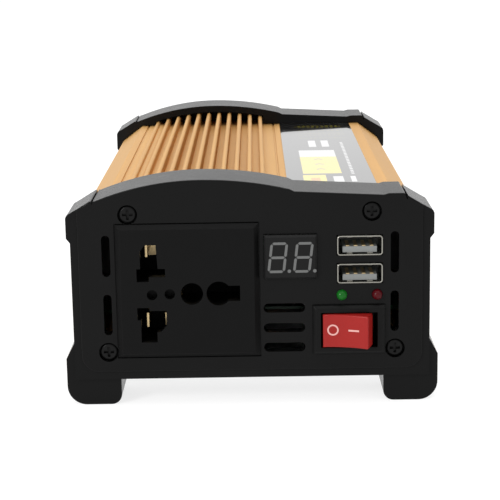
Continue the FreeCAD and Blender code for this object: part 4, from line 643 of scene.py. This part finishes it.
# Shares of the rocker's depth, from its front: the bottom of the valley, and the last rounded edge.
VALLEY_LEVEL = 0.3
EDGE_LEVEL = 0.5
VALLEY_SLACK = 0.3 * MM
VALLEY_FROM_ENDS = 4 * MM
VALLEY_BEVEL = 5.2 * MM
VALLEY_SEGMENTS = 14
ROCKER_EDGE = 0.42 * MM
ROCKER_EDGE_SEGMENTS = 3

RING_RADIUS = 1.42 * MM
RING_STROKE = 0.46 * MM
RING_FACETS = 48
RING_REACH = 4.4 * MM
BAR_LENGTH = 3.0 * MM
BAR_STROKE = 0.5 * MM
BAR_CUTS = 9
MARK_RAISE = 0.35 * MM
MARK_START = 2 * MM
MARK_RISE = 0.06 * MM
INK_THICKNESS = 0.048 * MM


def rocker():
    """The red paddle: a hollow curve between its two ends and well-rounded edges."""
    piece = copied("switch_rocker", "rocker_paddle")
    low, high = corners("switch_rocker")
    depth = high.y - low.y
    valley = low.y + depth * VALLEY_LEVEL + VALLEY_SLACK
    inside = lambda e: low.x + VALLEY_FROM_ENDS < e.verts[0].co.x < high.x - VALLEY_FROM_ENDS
    pick("EDGE", lambda e: runs_along(e, Z_AXIS) and inside(e) and e.verts[0].co.y < valley)
    bpy.ops.mesh.bevel(offset=VALLEY_BEVEL, segments=VALLEY_SEGMENTS, affect="EDGES")
    last = low.y + depth * EDGE_LEVEL
    pick("EDGE", lambda e: sharp(e) and max(v.co.y for v in e.verts) < last)
    bpy.ops.mesh.bevel(offset=ROCKER_EDGE, segments=ROCKER_EDGE_SEGMENTS, affect="EDGES")
    smooth(piece)
    fit(piece, "rocker_red", "rocker", "switch_rocker")
    marks(piece)


def ring_mark(x, y, z):
    """A flat ring in front of the paddle."""
    put_down()
    outer = RING_RADIUS + RING_STROKE / 2
    inner = RING_RADIUS - RING_STROKE / 2
    bpy.ops.mesh.primitive_circle_add(vertices=RING_FACETS, radius=outer, rotation=FACING_Y,
                                      location=(x, y, z))
    ring = bpy.context.object
    take_up(ring)
    bpy.ops.mesh.select_all(action="SELECT")
    bpy.ops.mesh.extrude_edges_move()
    bpy.ops.transform.resize(value=(inner / outer,) * 3)
    settle(ring)
    return ring


def bar_mark(x, y, z):
    """A flat bar in front of the paddle, cut across so that it can follow a curve."""
    put_down()
    bpy.ops.mesh.primitive_plane_add(size=1, rotation=FACING_Y, location=(x, y, z))
    bar = bpy.context.object
    take_up(bar)
    bpy.ops.transform.resize(value=(BAR_LENGTH, 1, BAR_STROKE))
    bpy.ops.mesh.subdivide(number_cuts=BAR_CUTS)
    settle(bar)
    return bar


def marks(paddle):
    """A printed ring on the off end and a bar on the other, laid on the paddle's curve."""
    centre = middle("switch_rocker")
    front = corners("switch_rocker")[0].y - MARK_START
    height = centre.z + MARK_RAISE
    ring = ring_mark(centre.x - RING_REACH, front, height)
    bar = bar_mark(centre.x + BAR_LENGTH / 2, front, height)
    piece = join([ring, bar], "rocker_marks")
    wrap = piece.modifiers.new("laid_on", "SHRINKWRAP")
    wrap.target = paddle
    wrap.wrap_method = "PROJECT"
    wrap.use_project_y = True
    wrap.offset = MARK_RISE
    apply(piece, wrap)
    wall = piece.modifiers.new("ink", "SOLIDIFY")
    wall.thickness = INK_THICKNESS
    wall.offset = -1
    apply(piece, wall)
    face_outwards(piece)
    fit(piece, "mark_ink", "rocker", slot="rocker_red")


# ---------------------------------------------------------------- USB ports

SHELL_HEIGHT = 5.8 * MM
SHELL_WALL = 0.4 * MM
SHELL_CORNER = 0.9 * MM
SHELL_CORNER_SEGMENTS = 4
LIP_ROLL = 0.16 * MM
LIP_SEGMENTS = 3
LIP_DEGREES = 60
LIP_REACH = 0.01 * MM
TAB_WIDTH = 1.7 * MM
TAB_LENGTH = 4.5 * MM
TAB_THICKNESS = 0.25 * MM
TAB_PRESS = 0.45 * MM
TAB_SETBACK = 0.9 * MM
TAB_SPREAD = 2.9 * MM
TAB_FOLDS = (0.35, 0.6)
TAB_FOLD_REACH = 0.05
TAB_EDGE = 0.05 * MM


def port_shell(low, high):
    """One folded steel shell: rounded corners, a rolled lip and four spring tabs."""
    shell = block("usb_shell", low, high)
    pick("EDGE", lambda e: runs_along(e, Y_AXIS))
    bpy.ops.mesh.bevel(offset=SHELL_CORNER, segments=SHELL_CORNER_SEGMENTS, affect="EDGES")
    pick("FACE", lambda f: f.normal.y < -NEARLY_ONE)
    bpy.ops.mesh.inset(thickness=SHELL_WALL)
    cavity = high.y - low.y - SHELL_WALL
    bpy.ops.mesh.extrude_region_move(TRANSFORM_OT_translate={"value": (0, cavity, 0)})
    at_lip = lambda e: all(v.co.y < low.y + LIP_REACH for v in e.verts)
    pick("EDGE", lambda e: sharp(e, LIP_DEGREES) and at_lip(e))
    bpy.ops.mesh.bevel(offset=LIP_ROLL, segments=LIP_SEGMENTS, affect="EDGES")
    smooth(shell)
    tabs = [spring_tab(low, high, place, side) for side in (-1, 1) for place in (-TAB_SPREAD, TAB_SPREAD)]
    return join([shell] + tabs, "usb_shell")


def spring_tab(low, high, place, side):
    """A leaf pressed inwards from the shell's long wall; side is 1 for the upper wall."""
    x = (low.x + high.x) / 2 + place
    wall = high.z - SHELL_WALL if side > 0 else low.z + SHELL_WALL
    start = low.y + TAB_SETBACK
    z0, z1 = sorted((wall, wall - side * TAB_THICKNESS))
    tab = block("spring_tab", (x - TAB_WIDTH / 2, start, z0), (x + TAB_WIDTH / 2, start + TAB_LENGTH, z1))
    for fold in TAB_FOLDS:
        bpy.ops.mesh.select_all(action="SELECT")
        bpy.ops.mesh.bisect(plane_co=(x, start + TAB_LENGTH * fold, wall), plane_no=(0, 1, 0))
    first = start + TAB_LENGTH * (TAB_FOLDS[0] - TAB_FOLD_REACH)
    last = start + TAB_LENGTH * (TAB_FOLDS[1] + TAB_FOLD_REACH)
    pick("VERT", lambda v: first < v.co.y < last)
    bpy.ops.transform.translate(value=(0, 0, -side * TAB_PRESS))
    pick("EDGE", sharp)
    bpy.ops.mesh.bevel(offset=TAB_EDGE, segments=1, affect="EDGES")
    put_down()
    return tab


def usb_ports():
    low, high = corners("usb_shells")
    lower = port_shell(low, Vector((high.x, high.y, low.z + SHELL_HEIGHT)))
    upper = another(lower, (0, 0, high.z - low.z - SHELL_HEIGHT))
    piece = join([lower, upper], "usb_port_shells")
    fit(piece, "port_nickel", BODY_OF["usb_shells"], "usb_shells")


# ---------------------------------------------------------------- fan guard

GUARD_WIRE = 0.42 * MM
WIRE_FACETS = 10
GUARD_RINGS = (18.0 * MM, 12.5 * MM, 7.0 * MM)
GUARD_RING_FACETS = 72
EYE_RADIUS = 2.6 * MM
EYE_REACH = 16.0 * MM
EYE_FACETS = 32
ARM_LEVEL = 0.4 * MM
ARM_CRANK = 0.5 * MM
ARM_LENGTH = 11.4 * MM
GUARD_SMOOTH_DEGREES = 50


def wire_ring(x, y, z, radius, facets):
    put_down()
    bpy.ops.mesh.primitive_torus_add(major_radius=radius, minor_radius=GUARD_WIRE, major_segments=facets,
                                     minor_segments=WIRE_FACETS, location=(x, y, z), rotation=FACING_Y)
    ring = bpy.context.object
    settle(ring)
    return ring


def guard_arm(x, y_arm, y_eye, z, across, up):
    """A wire from an eye to the inner ring: level at the eye, cranked out in two bends, then straight."""
    put_down()
    reach = Vector((across, 0, up)).normalized()
    start = Vector((x, y_eye, z)) + reach * (EYE_REACH * math.sqrt(2) - EYE_RADIUS)
    turn = Vector((0, 0, 1)).rotation_difference(-reach).to_euler()
    bpy.ops.mesh.primitive_circle_add(vertices=WIRE_FACETS, radius=GUARD_WIRE, fill_type="NGON",
                                      location=start, rotation=turn)
    arm = bpy.context.object
    settle(arm)
    take_up(arm)
    bpy.ops.mesh.select_all(action="SELECT")
    half_crank = -reach * ARM_CRANK + Vector((0, (y_arm - y_eye) / 2, 0))
    for step in (-reach * ARM_LEVEL, half_crank, half_crank, -reach * ARM_LENGTH):
        bpy.ops.mesh.extrude_region_move(TRANSFORM_OT_translate={"value": step})
    face_outwards(arm)
    return arm


def fan_guard():
    """Three rings, and an eye and an arm at each corner, welded into one guard."""
    low, high = corners("fan_guard")
    centre = (low + high) / 2
    y_eye = low.y + GUARD_WIRE
    y_ring = high.y - GUARD_WIRE
    y_arm = y_ring - GUARD_WIRE * 2
    parts = [wire_ring(centre.x, y_ring, centre.z, radius, GUARD_RING_FACETS) for radius in GUARD_RINGS]
    for across in (-1, 1):
        for up in (-1, 1):
            x_eye = centre.x + across * EYE_REACH
            z_eye = centre.z + up * EYE_REACH
            parts.append(wire_ring(x_eye, y_eye, z_eye, EYE_RADIUS, EYE_FACETS))
            parts.append(guard_arm(centre.x, y_arm, y_eye, centre.z, across, up))
    piece = join(parts, "bent_wire_guard")
    smooth(piece, GUARD_SMOOTH_DEGREES)
    fit(piece, "guard_steel", BODY_OF["fan_guard"], "fan_guard")


# ---------------------------------------------------------------- studio

WORLD_STRENGTH = 0.92
FLOOR_SIZE = 30
FLOOR_GREY = 0.28
FLOOR_GLOW = 0.78
FLOOR_ROUGHNESS = 0.9

# Square soft lights: where each one is, what it faces, its side in metres and its watts.
LAMPS = {
    "overhead": ((0.0, 0.2, 1.2), (0, 0, 0), 1.4, 9),
    "key": ((-0.75, -0.85, 0.55), (0, 0, 0.03), 0.3, 7),
}


def studio():
    scene = bpy.context.scene
    scene.view_settings.view_transform = "Standard"
    world = bpy.data.worlds.new("studio")
    world.use_nodes = True
    world.node_tree.nodes["Background"].inputs["Color"].default_value = rgba(grey(1))
    world.node_tree.nodes["Background"].inputs["Strength"].default_value = WORLD_STRENGTH
    scene.world = world
    put_down()
    bpy.ops.mesh.primitive_plane_add(size=FLOOR_SIZE)
    floor = bpy.context.object
    floor.name = "floor"
    paint = Finish("floor_paint", base_color=rgba(grey(FLOOR_GREY)), roughness=FLOOR_ROUGHNESS,
                   emission_color=rgba(grey(1)), emission_strength=FLOOR_GLOW)
    floor.data.materials.append(paint.material)
    for name, (place, target, side, watts) in LAMPS.items():
        lamp(name, Vector(place), Vector(target), side, watts)


def lamp(name, place, target, side, watts):
    light = bpy.data.lights.new(name, "AREA")
    light.shape = "SQUARE"
    light.size = side
    light.energy = watts
    piece = bpy.data.objects.new(name, light)
    piece.location = place
    piece.rotation_euler = (target - place).to_track_quat("-Z", "Y").to_euler()
    bpy.context.scene.collection.objects.link(piece)


CAMERA_X = 1.843 * MM
CAMERA_BACK = 419.4 * MM
CAMERA_HEIGHT = 139.486 * MM
CAMERA_PITCH = math.radians(12.534)
CAMERA_TURN = math.radians(0.259)
CAMERA_ROLL = math.radians(0.962)
CAMERA_NEAREST = 20 * MM
LENS = 108.0
SENSOR = 36.0


def camera():
    """A long lens in front of the panel and a little above it, looking down."""
    data = bpy.data.cameras.new("camera")
    data.lens = LENS
    data.sensor_width = SENSOR
    data.clip_start = CAMERA_NEAREST
    piece = bpy.data.objects.new("camera", data)
    front = corners("front_cover")[0].y
    turn = Matrix.Rotation(CAMERA_TURN, 4, "Z")
    pitch = Matrix.Rotation(RIGHT_ANGLE - CAMERA_PITCH, 4, "X")
    roll = Matrix.Rotation(-CAMERA_ROLL, 4, "Z")
    place = Matrix.Translation((CAMERA_X, front - CAMERA_BACK, CAMERA_HEIGHT))
    piece.matrix_world = place @ turn @ pitch @ roll
    bpy.context.scene.collection.objects.link(piece)
    bpy.context.scene.camera = piece


dress_nodes()
ease_mouldings()
rocker()
usb_ports()
fan_guard()
studio()
camera()
